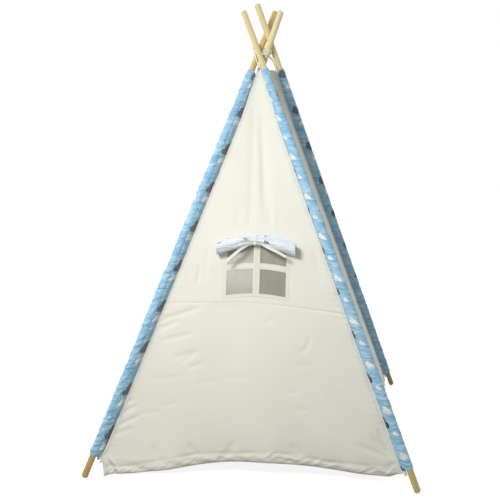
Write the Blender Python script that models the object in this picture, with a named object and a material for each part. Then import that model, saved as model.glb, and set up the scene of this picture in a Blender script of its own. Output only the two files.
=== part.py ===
"""Child's play teepee.

Four pine poles cross near their tops. A sewn canvas cover hangs between them on printed pole sleeves:
a front wall with a clear window, its curtain rolled up and tied above it, plain right and rear walls,
and a left wall that is split up its centre as a door with two flaps.

The origin is the centre of the base on the floor, +X right, +Y to the rear, +Z up, in metres.
Every folding frame is parented to an empty on its joint's axis.
"""

import math

import bmesh
import bpy
from mathutils import Matrix, Vector

# Poles
POLE_LENGTH = 1.80
POLE_DIAMETER = 0.022
POLE_END_FILLET = 0.004
POLE_SIDES = 20
BASE_HALF = 0.55
CROSSING_HEIGHT = 1.457
CORNER_SIGNS = {
    "front_left": (-1, -1),
    "front_right": (1, -1),
    "rear_right": (1, 1),
    "rear_left": (-1, 1),
}
# Where each pole's axis passes the crossing height, in pole diameters from the centre.
CROSSING_SHARES = {
    "front_left": (-0.28, 0.0),
    "front_right": (-0.94, -1.11),
    "rear_right": (1.60, 0.455),
    "rear_left": (1.145, -1.064),
}
CORNERS = list(CORNER_SIGNS)

# Cover cloth and the clearance that every sewn edge keeps to its neighbour
CLOTH = 0.0012
TAPE = 0.001
FIT = 0.0004
COVER_TOP = 1.375

# Pole sleeves
SLEEVE_BOTTOM = 0.070
SLEEVE_TOP = 1.381
SLEEVE_EASE = 0.0009
SLEEVE_SIDES = 14
SLEEVE_RINGS = 11
TAPER_RINGS = 4
PUCKER = 0.0035
SEAM_REACH = 0.035
SEAM_REACH_TOP = 0.0165
SEAM_TAPER_START = 1.18

# Walls
BILLOW = 0.020
RIPPLE = 0.009
RIPPLE_REACH = 0.11
FRONT_HEM_HEIGHTS = (0.004, 0.057, 0.034)
RIGHT_HEM_HEIGHTS = (0.045, 0.080, 0.034)
REAR_HEM_HEIGHTS = (0.034, 0.080, 0.034)
PANEL_SEAM_HEIGHTS = (0.5535, 0.5585, 0.532)
WALL_COLUMNS = 14
WALL_ROWS = 8
UPPER_COLUMNS = 12
UPPER_ROWS = 5

# Window: a clear film behind a square cut-out, crossed by two bars
WINDOW_CENTRE_X = 0.006
WINDOW_HALF_WIDTH = 0.102
WINDOW_BOTTOM = 0.588
WINDOW_TOP = 0.770
WINDOW_BAR_HEIGHT = 0.680
WINDOW_ARCH = 0.009
VERTICAL_BAR_WIDTH = 0.0235
HORIZONTAL_BAR_WIDTH = 0.0217
WINDOW_LAP = 0.012
FILM = 0.0008
CUTTER_DEPTH = 0.06

# Curtain, rolled up above the window
ROLL_LENGTH = 0.276
ROLL_RADIUS = 0.025
ROLL_CORE_RADIUS = 0.006
ROLL_TURNS = 2
ROLL_TIGHTENING = 1.6
ROLL_CLOTH = 0.0016
ROLL_HEIGHT = 0.773
ROLL_DROOP = 0.030
ROLL_DROOP_BEND = 1.3
ROLL_PINCH_SHARE = 0.42
ROLL_PINCH_REACH = 0.034
ROLL_SECTIONS = 12
CURTAIN_HEADER = 0.0105
CURTAIN_HANG_LIFT = 0.0032

# Curtain ties
TIE_WIDTH = 0.008
TIE_EASE = 0.0011
KNOT_RADIUS = 0.008
KNOT_FLATNESS = 0.62
KNOT_NARROWNESS = 0.8
KNOT_ANGLE = -52
TIE_END = 6
TAIL_POINTS = 8
# How far each tail runs out from the middle, and how far its end falls below the roll.
LEFT_TAIL = (0.096, 0.055)
RIGHT_TAIL = (0.108, 0.026)

# Door in the left wall
DOOR_TOP = 1.02
DOOR_HEM_HEIGHT = 0.045
DOOR_CORNER_HEIGHT = 0.034
FOLD_FOOT_SHARE = 0.07
HINGE_GAP = 0.0004
SLIT_GAP = 0.003
FLAP_TOP_SHARE = 0.985
FLAP_RIPPLE = 0.008
DOOR_ROWS = 8
YOKE_COLUMNS = 6
YOKE_ROWS = 2
DOOR_TIE_HEIGHT = 0.62
DOOR_TIE_LENGTH = 0.16
DOOR_TIE_INSET = 0.012

# Corner tabs: folded tape sewn into the lower end of each corner seam
TAB_LENGTH = 0.017
TAB_WIDTH = 0.010
TAB_FOLD = 0.0012
TAB_INSET = 0.010
TAB_DROP = 0.0006
TAB_KNEE_SHARE = 0.9

# Tie cord at the crossing
CORD_DIAMETER = 0.005
CORD_EASE = 0.0005
CORD_TURNS = 2.75
CORD_PITCH = 0.009
CORD_HEIGHT = 1.436
CORD_START_ANGLE = 14.5
CORD_LEAD = 0.007
POINTS_PER_TURN = 24
# Where the cord passes the other poles: the pole, the height above the crossing, the side of the pole in plan,
# and the distance from its axis as a share of touching it.
FRONT_CORD_ROUTE = (
    ("front_right", -0.052, (-1, 0.35), 1.25),
    ("front_right", -0.030, (-1, 0.1), 1.05),
    ("front_right", -0.008, (-1, 0.3), 1.15),
    ("front_left", 0.002, (-1, -0.1), 1.15),
    ("front_left", 0.004, (-0.6, 1), 1.1),
    ("front_left", 0.002, (0.25, 1), 1.1),
    ("front_left", -0.002, (0.6, 0.85), 1.06),
)
REAR_CORD_ROUTE = (
    ("rear_right", -0.043, (-1, 0.1), 1.15),
    ("rear_right", -0.058, (-1, -0.4), 1.1),
)

POLE_RADIUS = POLE_DIAMETER / 2
SLEEVE_RADIUS = POLE_RADIUS + SLEEVE_EASE + CLOTH
CORD_RADIUS = CORD_DIAMETER / 2
UP = Vector((0, 0, 1))

MATERIALS = {
    "pine": ((0.72, 0.53, 0.30), 0.55),
    "canvas": ((0.86, 0.82, 0.71), 0.9),
    "sleeve_print": ((0.31, 0.56, 0.76), 0.9),
    "curtain": ((0.74, 0.80, 0.90), 0.9),
    "tape": ((0.90, 0.88, 0.82), 0.85),
    "film": ((0.33, 0.33, 0.24), 0.2),
    "cord": ((0.86, 0.82, 0.68), 0.85),
}


def clear_scene():
    for old in list(bpy.data.objects):
        bpy.data.objects.remove(old, do_unlink=True)


def material(name):
    """A plain Principled material, made once for each finish."""
    if name in bpy.data.materials:
        return bpy.data.materials[name]
    colour, roughness = MATERIALS[name]
    made = bpy.data.materials.new(name)
    made.use_nodes = True
    shader = made.node_tree.nodes["Principled BSDF"]
    shader.inputs["Base Color"].default_value = (*colour, 1)
    shader.inputs["Roughness"].default_value = roughness
    shader.inputs["Metallic"].default_value = 0
    return made


def add_object(name, data, finish):
    made = bpy.data.objects.new(name, data)
    bpy.context.collection.objects.link(made)
    data.materials.append(material(finish))
    return made


def object_from(name, bm, finish):
    """A bmesh as a named, smooth-shaded object; the bmesh is used up."""
    mesh = bpy.data.meshes.new(name)
    bm.to_mesh(mesh)
    bm.free()
    mesh.shade_smooth()
    mesh.set_sharp_from_angle(angle=math.radians(40))
    return add_object(name, mesh, finish)


def plan(vector):
    """The horizontal direction of a vector, at length one."""
    return Vector((vector.x, vector.y, 0)).normalized()


# Pole lines


def pole_foot(corner):
    x, y = CORNER_SIGNS[corner]
    return Vector((x * BASE_HALF, y * BASE_HALF, 0))


def pole_direction(corner):
    x, y = CROSSING_SHARES[corner]
    crossing = Vector((x * POLE_DIAMETER, y * POLE_DIAMETER, CROSSING_HEIGHT))
    return (crossing - pole_foot(corner)).normalized()


def pole_at(corner, height):
    """The point of a pole's axis at a height above the floor."""
    direction = pole_direction(corner)
    return pole_foot(corner) + direction * (height / direction.z)


def beside_pole(corner, height, bearing, distance):
    """A point in the horizontal plane at height, distance from the pole's axis measured square to it."""
    direction = pole_direction(corner)
    lean = plan(direction)
    bearing = plan(bearing)
    along = lean * bearing.dot(lean)
    return pole_at(corner, height) + (along / direction.z + (bearing - along)) * distance


def make_pole(corner):
    bm = bmesh.new()
    bmesh.ops.create_cone(
        bm,
        cap_ends=True,
        segments=POLE_SIDES,
        radius1=POLE_RADIUS,
        radius2=POLE_RADIUS,
        depth=POLE_LENGTH,
    )
    rims = [e for e in bm.edges if len({len(f.verts) for f in e.link_faces}) == 2]
    bmesh.ops.bevel(bm, geom=rims, offset=POLE_END_FILLET, segments=3, profile=0.5, affect="EDGES")
    bmesh.ops.translate(bm, verts=bm.verts, vec=(0, 0, POLE_LENGTH / 2))
    direction = pole_direction(corner)
    lowest_side = (direction * direction.z - UP).normalized()
    turn = Matrix((lowest_side, direction.cross(lowest_side), direction)).transposed()
    # The foot is slid along its axis until its lowest rim point stands on the floor.
    sink = min((turn @ vert.co).z for vert in bm.verts)
    pole = object_from(f"{corner}_pole", bm, "pine")
    start = pole_foot(corner) - direction * (sink / direction.z)
    pole.matrix_world = Matrix.Translation(start) @ turn.to_4x4()
    return pole


# Cloth


def grid_mesh(rows, closed=False):
    """A sheet of quads through rows of points; closed joins each row's end to its start."""
    bm = bmesh.new()
    verts = [[bm.verts.new(point) for point in row] for row in rows]
    count = len(rows[0])
    for low, high in zip(verts, verts[1:]):
        for k in range(count if closed else count - 1):
            after = (k + 1) % count
            bm.faces.new((low[k], low[after], high[after], high[k]))
    return bm


def sheet(name, rows, thickness, finish, closed=False, side=0):
    """Cloth of a real thickness through rows of points. side 0 centres it, -1 lays it behind the points."""
    made = object_from(name, grid_mesh(rows, closed), finish)
    solidify = made.modifiers.new("Thickness", "SOLIDIFY")
    solidify.thickness = thickness
    solidify.offset = side
    return made


def steps(count):
    """Shares from 0 to 1 in so many equal steps."""
    count = round(count)
    return [i / count for i in range(count + 1)]


def between(low, high, share):
    return low + (high - low) * share


def inward(corner, height):
    """Plan direction from a pole into the tent: it halves the angle between the two walls that meet there."""
    place = CORNERS.index(corner)
    here = pole_at(corner, height)
    before = plan(pole_at(CORNERS[place - 1], height) - here)
    after = plan(pole_at(CORNERS[(place + 1) % len(CORNERS)], height) - here)
    return plan(before + after)


def seam_reach(height):
    """How far the corner seam lies from the pole's axis: less near the top, where the walls run out."""
    share = (height - SEAM_TAPER_START) / (SLEEVE_TOP - SEAM_TAPER_START)
    return between(SEAM_REACH, SEAM_REACH_TOP, min(max(share, 0), 1))


def taper_heights():
    """Levels of the tapering seam that the sleeves and the walls share, so that their edges stay together."""
    return [between(SEAM_TAPER_START, SLEEVE_TOP, share) for share in steps(TAPER_RINGS)[1:]]


def corner_seam(corner, height):
    return beside_pole(corner, height, inward(corner, height), seam_reach(height))


def squared(corner, height, point):
    """The point slid along the pole until it is square across from the axis at a height, as a sleeve's end is cut."""
    axis = pole_direction(corner)
    return point - axis * (point - pole_at(corner, height)).dot(axis)


def sewn_end(corner):
    """Height of the corner seam's lower end, on the squared end of the sleeve."""
    return squared(corner, SLEEVE_BOTTOM, corner_seam(corner, SLEEVE_BOTTOM)).z


def teardrop(angle, radius, reach):
    """Radius of a sleeve at an angle from its seam: round the pole, then straight in to the seam."""
    turned = abs(math.remainder(angle, math.tau))
    tangent = math.acos(min(radius / reach, 1))
    return radius / math.cos(tangent - turned) if turned < tangent else radius


def make_sleeve(corner):
    rows = []
    heights = [between(SLEEVE_BOTTOM, SEAM_TAPER_START, share) for share in steps(SLEEVE_RINGS)]
    heights += taper_heights()
    for i, height in enumerate(heights):
        row = []
        for k in range(SLEEVE_SIDES):
            angle = math.tau * k / SLEEVE_SIDES
            away_from_seam = (1 - math.cos(angle)) / 2
            gather = PUCKER * away_from_seam * (1 + math.sin(angle * 2 + i * 2.4)) / 2
            radius = teardrop(angle, SLEEVE_RADIUS, seam_reach(height)) + gather
            bearing = Matrix.Rotation(angle, 3, "Z") @ inward(corner, height)
            row.append(beside_pole(corner, height, bearing, radius))
        rows.append(row)
    rows[0] = [squared(corner, SLEEVE_BOTTOM, point) for point in rows[0]]
    return sheet(f"{corner}_sleeve", rows, CLOTH, "sleeve_print", closed=True, side=-1)


def corner_clearance(run, corner, height):
    """How far along its run a wall starts, to clear both the sleeve's seam and the wall that meets it there."""
    half = run.angle(inward(corner, height))
    return max(CLOTH / 2 + FIT, (FIT + CLOTH / 2 * math.cos(half)) / math.sin(half))


class Wall:
    """The cloth between two neighbouring corner seams, seen from outside: left seam to right seam."""

    def __init__(self, left, right, ripples=0, phase=0, billow=BILLOW, free_corner=False):
        self.left = left
        self.right = right
        self.free_corner = free_corner
        self.ripples = ripples
        self.phase = phase
        self.billow = billow

    def seams(self, height):
        """The wall's two edges, each held off its corner seam by a sewn edge's clearance.

        Below the sleeve's end, a free left corner hangs straight down."""
        left = corner_seam(self.left, height)
        if self.free_corner and height < sewn_end(self.left):
            left = corner_seam(self.left, sewn_end(self.left))
            left.z = height
        right = corner_seam(self.right, height)
        run = plan(right - left)
        left += run * corner_clearance(run, self.left, height)
        right -= run * corner_clearance(-run, self.right, height)
        return left, right

    def sink(self, share, height):
        """How far the cloth hangs in: a slack belly, and ripples that die out above the hem."""
        slack = 4 * share * (1 - share)
        belly = self.billow * (1 - height / CROSSING_HEIGHT)
        wave = math.sin(math.tau * self.ripples * share + self.phase)
        return slack * (belly + RIPPLE * math.exp(-height / RIPPLE_REACH) * wave)

    def normal(self, height):
        left, right = self.seams(height)
        above = self.seams(height + WALL_STEP)[0]
        return (right - left).cross(above - left).normalized()

    def point(self, share, height, lift=0):
        """A point of the wall at a share of its width; lift moves it out along the wall's normal."""
        left, right = self.seams(height)
        run = plan(right - left)
        outward = Vector((run.y, -run.x, 0))
        place = left.lerp(right, share) - outward * self.sink(share, height)
        return place + self.normal(height) * lift

    def share_at(self, x, height):
        left, right = self.seams(height)
        return (x - left.x) / (right.x - left.x)

    def point_at(self, x, height, lift=0):
        return self.point(self.share_at(x, height), height, lift)

    def lean(self, height):
        """Length up the cloth for each unit of height."""
        return 1 / math.sqrt(1 - self.normal(height).z ** 2)


WALL_STEP = BASE_HALF / 10
FRONT = Wall("front_left", "front_right", ripples=3, phase=0.6, free_corner=True)
RIGHT = Wall("front_right", "rear_right", ripples=4, phase=2.2)
REAR = Wall("rear_right", "rear_left", ripples=3, phase=4.0)
LEFT = Wall("rear_left", "front_left", billow=0)


def hem_height(heights, share):
    """A hem that hangs between its two corners and arches in the middle."""
    left, middle, right = heights
    bow = middle - (left + right) / 2
    return between(left, right, share) + bow * math.sin(math.pi * share) ** 2


def panel_seam(share):
    return hem_height(PANEL_SEAM_HEIGHTS, share)


def levels(low, high, count, crowd=1):
    """Edge lines from one to the other; crowd above 1 draws them towards the lower one."""
    return [lambda share, up=up: between(low(share), high(share), up**crowd) for up in steps(count)]


def levels_to_top(low, count, crowd=1):
    """Edge lines from a lower one to the cover's top, by way of the levels of the tapering seam."""
    taper = [*taper_heights()[:-1], COVER_TOP]
    return levels(low, lambda share: SEAM_TAPER_START, count, crowd) + [lambda share, z=z: z for z in taper]


def wall_rows(wall, lines, columns):
    return [[wall.point(share, line(share)) for share in steps(columns)] for line in lines]


def make_walls():
    """Front wall in two panels, and the plain right and rear walls."""
    hem = levels(
        lambda share: hem_height(FRONT_HEM_HEIGHTS, share),
        lambda share: panel_seam(share) - FIT / 2,
        WALL_ROWS - 1,
        crowd=1.6,
    )
    front_lower = sheet("front_wall_lower_panel", wall_rows(FRONT, hem, WALL_COLUMNS), CLOTH, "canvas")
    upper = levels_to_top(lambda share: panel_seam(share) + FIT / 2, UPPER_ROWS)
    front_upper = sheet("front_wall_upper_panel", wall_rows(FRONT, upper, UPPER_COLUMNS), CLOTH, "canvas")
    cut = front_upper.modifiers.new("Window", "BOOLEAN")
    cut.operation = "DIFFERENCE"
    cut.solver = "EXACT"
    cut.object = window_cutter()
    plain = []
    for name, wall, heights in (
        ("right_wall", RIGHT, RIGHT_HEM_HEIGHTS),
        ("rear_wall", REAR, REAR_HEM_HEIGHTS),
    ):
        lines = levels_to_top(lambda share, heights=heights: hem_height(heights, share), WALL_ROWS, crowd=1.7)
        plain.append(sheet(name, wall_rows(wall, lines, WALL_COLUMNS), CLOTH, "canvas"))
    return front_lower, front_upper, *plain


# Window


def arch(x):
    """How much lower the window's level lines lie at x than in its middle: the pulled cloth arches them."""
    return WINDOW_ARCH * ((x - WINDOW_CENTRE_X) / WINDOW_HALF_WIDTH) ** 2


def front_patch(name, x_range, height_range, lift, thickness, finish, columns=6, rows=1):
    """A piece that follows the front wall and its arch, at a lift from the middle of the wall's cloth."""
    points = []
    for up in steps(rows):
        across = [between(*x_range, share) for share in steps(columns)]
        points.append([FRONT.point_at(x, between(*height_range, up) - arch(x), lift) for x in across])
    return sheet(name, points, thickness, finish)


def window_cutter():
    left = WINDOW_CENTRE_X - WINDOW_HALF_WIDTH
    right = WINDOW_CENTRE_X + WINDOW_HALF_WIDTH
    heights = (WINDOW_BOTTOM, WINDOW_TOP)
    cutter = front_patch("window_cutter", (left, right), heights, 0, CUTTER_DEPTH, "tape")
    cutter.hide_render = True
    cutter.display_type = "WIRE"
    return cutter


def make_window():
    left = WINDOW_CENTRE_X - WINDOW_HALF_WIDTH
    right = WINDOW_CENTRE_X + WINDOW_HALF_WIDTH
    lapped = (WINDOW_BOTTOM - WINDOW_LAP, WINDOW_TOP + WINDOW_LAP)
    behind = -(CLOTH / 2 + FIT + FILM / 2)
    film = front_patch(
        "window_film", (left - WINDOW_LAP, right + WINDOW_LAP), lapped, behind, FILM, "film", rows=5
    )
    bar_half = HORIZONTAL_BAR_WIDTH / FRONT.lean(WINDOW_BAR_HEIGHT) / 2
    bar = (WINDOW_BAR_HEIGHT - bar_half, WINDOW_BAR_HEIGHT + bar_half)
    horizontal = front_patch(
        "window_bar_horizontal", (left + FIT, right - FIT), bar, (TAPE - CLOTH) / 2, TAPE, "tape"
    )
    half = VERTICAL_BAR_WIDTH / 2
    vertical = front_patch(
        "window_bar_vertical",
        (WINDOW_CENTRE_X - half, WINDOW_CENTRE_X + half),
        (WINDOW_BOTTOM - WINDOW_LAP, WINDOW_TOP),
        CLOTH / 2 + FIT + TAPE / 2,
        TAPE,
        "tape",
        columns=2,
        rows=6,
    )
    return film, horizontal, vertical


# Rolled curtain and its ties


def roll_scale(x):
    """Girth of the roll at a distance from its middle, where the tie pinches it."""
    return 1 - ROLL_PINCH_SHARE * math.exp(-((x / ROLL_PINCH_REACH) ** 2))


def roll_height(x):
    """Height of the roll's centre: it droops to both ends from the tie."""
    return ROLL_HEIGHT - ROLL_DROOP * abs(2 * x / ROLL_LENGTH) ** ROLL_DROOP_BEND


def curtain_seam(x, lift):
    """A point of the seam that the curtain hangs from: it shows as a narrow strip above the roll."""
    height = roll_height(x) + ROLL_RADIUS * roll_scale(x) + CURTAIN_HEADER
    return FRONT.point_at(WINDOW_CENTRE_X + x, height, lift)


def roll_centre(x):
    """Middle of the roll, which lies against the wall all along."""
    lift = CURTAIN_HANG_LIFT + ROLL_RADIUS * roll_scale(x)
    return FRONT.point_at(WINDOW_CENTRE_X + x, roll_height(x), lift)


def roll_radius(angle):
    """Radius of the unpinched roll at an angle in degrees, from -180 at its back round under its front."""
    turned = (angle + 180) / 360 / ROLL_TURNS
    return between(ROLL_RADIUS, ROLL_CORE_RADIUS, turned**ROLL_TIGHTENING)


def roll_frame():
    """Out from the wall, up the wall and along the roll."""
    out = FRONT.normal(ROLL_HEIGHT)
    sideways = plan(UP.cross(out))
    return out, out.cross(sideways), sideways


def on_roll(x, angle, lift=0):
    """A point at an angle round the roll, at a lift from the middle of its outer cloth."""
    out, up, _ = roll_frame()
    turned = math.radians(angle)
    facing = out * math.cos(turned) + up * math.sin(turned)
    return roll_centre(x) + facing * (roll_radius(angle) * roll_scale(x) + lift)


def make_roll():
    """The curtain hangs from its seam along the wall and winds up forwards into the roll."""
    rows = []
    for share in steps(ROLL_SECTIONS):
        # Sections stand closer together at the middle, where the tie pinches the roll.
        side = 2 * share - 1
        x = math.copysign(abs(side) ** 1.6, side) * ROLL_LENGTH / 2
        row = [curtain_seam(x, CLOTH / 2 + FIT + ROLL_CLOTH / 2)]
        row += [on_roll(x, -180 + 360 * ROLL_TURNS * turned) for turned in steps(11 * ROLL_TURNS)]
        rows.append(row)
    return sheet("rolled_curtain", rows, ROLL_CLOTH, "curtain")


def ribbon(name, path, across, width, thickness, finish):
    """A flat tape along a path; across gives its width direction at each point."""
    rows = [[point - side * (width / 2), point + side * (width / 2)] for point, side in zip(path, across)]
    return sheet(name, rows, thickness, finish)


def make_curtain_ties():
    """One tape comes over the front of the roll and one from behind; they are knotted under it."""
    out, up, sideways = roll_frame()
    clear = ROLL_CLOTH / 2 + TIE_EASE + TAPE / 2
    in_front = CLOTH / 2 + FIT * 2 + ROLL_CLOTH + TAPE / 2
    seam = curtain_seam(0, in_front)
    front_path = [seam] + [on_roll(0, between(112, KNOT_ANGLE + TIE_END, s), clear) for s in steps(9)]
    rear_path = [on_roll(0, between(-150, KNOT_ANGLE - TIE_END, s), clear) for s in steps(5)]
    front = ribbon(
        "curtain_tie_front", front_path, [sideways] * len(front_path), TIE_WIDTH, TAPE, "tape"
    )
    rear = ribbon("curtain_tie_rear", rear_path, [sideways] * len(rear_path), TIE_WIDTH, TAPE, "tape")

    knot_angle = math.radians(KNOT_ANGLE)
    facing = out * math.cos(knot_angle) + up * math.sin(knot_angle)
    knot_centre = on_roll(0, KNOT_ANGLE, clear + TAPE / 2 + FIT + KNOT_RADIUS * KNOT_FLATNESS)
    bm = bmesh.new()
    bmesh.ops.create_uvsphere(bm, u_segments=10, v_segments=8, radius=KNOT_RADIUS)
    bmesh.ops.scale(bm, verts=bm.verts, vec=(1, KNOT_FLATNESS, KNOT_NARROWNESS))
    knot = object_from("curtain_tie_knot", bm, "tape")
    turn = Matrix((sideways, facing, sideways.cross(facing))).transposed()
    knot.matrix_world = Matrix.Translation(knot_centre) @ turn.to_4x4()

    # The tails run out from the knot along the roll's underside, then fall free of it.
    tails = []
    for name, hand, (reach, drop) in (
        ("curtain_tie_tail_left", -1, LEFT_TAIL),
        ("curtain_tie_tail_right", 1, RIGHT_TAIL),
    ):
        path = [knot_centre + sideways * hand * (KNOT_RADIUS + FIT)]
        for share in steps(TAIL_POINTS)[1:]:
            x = hand * between(KNOT_RADIUS + FIT, reach, share)
            path.append(on_roll(x, KNOT_ANGLE, clear) - up * drop * share**2)
        across = [sideways.cross(facing)] * len(path)
        tails.append(ribbon(name, path, across, TIE_WIDTH, TAPE, "tape"))
    return front, rear, knot, *tails


# Door


def slit_top():
    return LEFT.point(0.5, DOOR_TOP)


def fold_foot(side):
    """Lower end of a flap's fold line, beside the corner it folds towards."""
    share = 1 - FOLD_FOOT_SHARE if side == "front" else FOLD_FOOT_SHARE
    return LEFT.point(share, DOOR_CORNER_HEIGHT)


def slit_foot():
    return LEFT.point(0.5, DOOR_HEM_HEIGHT)


def towards_pole(side):
    """Plan direction in the left wall from the slit towards a side's pole."""
    low, high = LEFT.seams(DOOR_TOP)
    return plan(high - low) * (1 if side == "front" else -1)


def panel_edges(side, height):
    """The fixed cloth's edges at a height: along the flap's fold line, and at the corner seam."""
    low, high = fold_foot(side), slit_top()
    fold = low.lerp(high, (height - low.z) / (high.z - low.z))
    seam = LEFT.seams(height)[1 if side == "front" else 0]
    return fold + towards_pole(side) * (HINGE_GAP / 2), seam


def make_yoke():
    lines = levels_to_top(lambda share: DOOR_TOP + FIT / 2, YOKE_ROWS)
    return sheet("door_yoke", wall_rows(LEFT, lines, YOKE_COLUMNS), CLOTH, "canvas")


def make_door_panel(side):
    """The fixed cloth between the pole's seam and the flap's fold line."""
    rows = []
    for up in steps(DOOR_ROWS):
        height = between(DOOR_CORNER_HEIGHT, DOOR_TOP - FIT / 2, up)
        fold, seam = panel_edges(side, height)
        rows.append([fold, fold.lerp(seam, 0.5), seam])
    return sheet(f"door_panel_{side}", rows, CLOTH, "canvas")


def make_door_flap(side):
    """Half of the door: a triangle of cloth from the fold line to the slit."""
    sideways = towards_pole(side)
    normal = (fold_foot(side) - slit_foot()).cross(slit_top() - slit_foot()).normalized()
    rows = []
    for up in steps(DOOR_ROWS):
        share = up * FLAP_TOP_SHARE
        fold = fold_foot(side).lerp(slit_top(), share) - sideways * (HINGE_GAP / 2)
        slit = slit_foot().lerp(slit_top(), share) + sideways * (SLIT_GAP / 2)
        row = []
        for across in steps(6):
            slack = 4 * across * (1 - across) * (1 - share)
            wave = FLAP_RIPPLE * slack * math.sin(math.tau * 1.5 * across + 0.7)
            row.append(fold.lerp(slit, across) + normal * wave)
        rows.append(row)
    return sheet(f"door_flap_{side}", rows, CLOTH, "canvas")


def make_door_tie(side):
    """A tape that hangs from the corner seam and holds the opened flap."""
    path = []
    across = []
    for share in steps(5):
        height = DOOR_TIE_HEIGHT - DOOR_TIE_LENGTH * share
        fold, seam = panel_edges(side, height)
        run = (fold - seam).normalized()
        normal = LEFT.normal(height)
        normal = (normal - run * normal.dot(run)).normalized()
        path.append(seam + run * DOOR_TIE_INSET + normal * (CLOTH / 2 + FIT + TAPE / 2))
        across.append(run)
    return ribbon(f"door_tie_{side}", path, across, TIE_WIDTH, TAPE, "tape")


# Corner tabs


def make_corner_tab(corner):
    """A short doubled tape under the sleeve's lower rim, between the pole and the seam."""
    axis = pole_direction(corner)
    direction = squared(corner, SLEEVE_BOTTOM, corner_seam(corner, SLEEVE_BOTTOM)) - pole_at(corner, SLEEVE_BOTTOM)
    direction.normalize()
    across = axis.cross(direction).normalized() * TAB_FOLD
    rim = pole_at(corner, SLEEVE_BOTTOM) + direction * (SEAM_REACH - TAB_INSET)
    top = rim - axis * TAB_DROP
    knee = top - axis * TAB_LENGTH * TAB_KNEE_SHARE
    path = [top - across, knee - across, top - axis * TAB_LENGTH, knee + across, top + across]
    return ribbon(f"{corner}_corner_tab", path, [direction] * len(path), TAB_WIDTH, TAPE, "tape")


# Tie cord


def smooth_route(points, per_span=5):
    """A smooth curve through a cord's route points."""
    ends = [points[0] * 2 - points[1], *points, points[-1] * 2 - points[-2]]
    route = []
    for before, start, end, after in zip(ends, ends[1:], ends[2:], ends[3:]):
        for i in range(per_span):
            t = i / per_span
            route.append(
                0.5
                * (
                    start * 2
                    + (end - before) * t
                    + (before * 2 - start * 5 + end * 4 - after) * t**2
                    + (start * 3 - before - end * 3 + after) * t**3
                )
            )
    route.append(points[-1])
    return route


def tube(name, route, finish="cord"):
    curve = bpy.data.curves.new(name, "CURVE")
    curve.dimensions = "3D"
    curve.bevel_depth = CORD_RADIUS
    curve.bevel_resolution = 1
    curve.use_fill_caps = True
    spline = curve.splines.new("POLY")
    spline.points.add(len(route) - 1)
    for point, place in zip(spline.points, route):
        point.co = (*place, 1)
    return add_object(name, curve, finish)


def winding_route():
    """Turns that climb the rear left pole, with a straight lead at each end."""
    axis = pole_direction("rear_left")
    middle = pole_at("rear_left", CORD_HEIGHT)
    first = plan(axis.cross(UP)).cross(axis).normalized()
    second = axis.cross(first)
    radius = cord_reach()
    count = round(CORD_TURNS * POINTS_PER_TURN)
    coil = []
    for i in range(count + 1):
        angle = math.radians(CORD_START_ANGLE) + math.tau * i / POINTS_PER_TURN
        climb = CORD_PITCH * (i / POINTS_PER_TURN - CORD_TURNS / 2)
        coil.append(middle + (first * math.cos(angle) + second * math.sin(angle)) * radius + axis * climb)
    lead_in = coil[0] + (coil[0] - coil[1]).normalized() * CORD_LEAD
    lead_out = coil[-1] + (coil[-1] - coil[-2]).normalized() * CORD_LEAD
    return [lead_in, *coil, lead_out]


def least_gap(route):
    """Least clear distance between stretches of the cord that lie at least half a turn apart."""
    apart = POINTS_PER_TURN // 2
    gaps = [
        (route[i] - route[j]).length
        for i in range(len(route))
        for j in range(i + apart, len(route))
    ]
    return min(gaps) - CORD_DIAMETER


def away(start, towards, distance):
    return start + (towards - start).normalized() * distance


def cord_reach():
    """Distance of the cord's middle from the axis of a pole that it lies on."""
    return POLE_RADIUS + CORD_EASE + CORD_RADIUS


def passing(route):
    points = []
    for corner, rise, bearing, share in route:
        side = Vector((*bearing, 0))
        points.append(beside_pole(corner, CROSSING_HEIGHT + rise, side, cord_reach() * share))
    return points


def make_tie_cord():
    """One cord from the front wall's top, up the front right pole, round the others and down to the right wall."""
    turns = winding_route()
    print(f"tie cord winding: least gap to itself {least_gap(turns) * 1000:.2f} mm")
    winding = tube("tie_cord_winding", turns)

    # The winding's upper end leads back round the front left pole to the front wall's top.
    meet = away(turns[-1], turns[-1] * 2 - turns[-2], FIT)
    front_top = FRONT.point(0.5, COVER_TOP) + UP * CORD_RADIUS
    front_points = [front_top, *passing(FRONT_CORD_ROUTE), away(meet, meet * 2 - turns[-1], CORD_RADIUS)]
    front = tube("tie_cord_front", [*smooth_route(front_points), meet])

    # Its lower end crosses behind the rear left pole to the top of the rear right sleeve's seam.
    leave = away(turns[0], turns[0] * 2 - turns[1], FIT)
    side = inward("rear_right", SLEEVE_TOP)
    rear_top = beside_pole("rear_right", SLEEVE_TOP + CORD_RADIUS, side, cord_reach() * 1.04)
    rear_points = [away(leave, leave * 2 - turns[0], CORD_RADIUS), *passing(REAR_CORD_ROUTE), rear_top]
    rear = tube("tie_cord_rear", [leave, *smooth_route(rear_points)])
    return front, winding, rear


# Joints


def crossing_joint(fixed, moving):
    """Where two neighbouring poles pass: the middle of their shortest link, and its direction."""
    one, other = pole_direction(fixed), pole_direction(moving)
    start, end = pole_foot(fixed), pole_foot(moving)
    link = one.cross(other).normalized()
    along = Matrix((one, -other, link)).transposed().inverted() @ (end - start)
    place = (start + one * along.x + end + other * along.y) / 2
    closing = link if link.cross(other).dot(one) > 0 else -link
    return place, closing


def pivot(name, place, axis, pieces, parent=None):
    """An empty on a joint's axis that carries the pieces which turn about it."""
    empty = bpy.data.objects.new(name, None)
    bpy.context.collection.objects.link(empty)
    empty.matrix_world = Matrix.Translation(place) @ axis.to_track_quat("Z", "Y").to_matrix().to_4x4()
    if parent:
        empty.parent = parent
        empty.matrix_parent_inverse = parent.matrix_world.inverted()
    bpy.context.view_layer.update()
    for piece in pieces:
        piece.parent = empty
        piece.matrix_parent_inverse = empty.matrix_world.inverted()
    return empty


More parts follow.
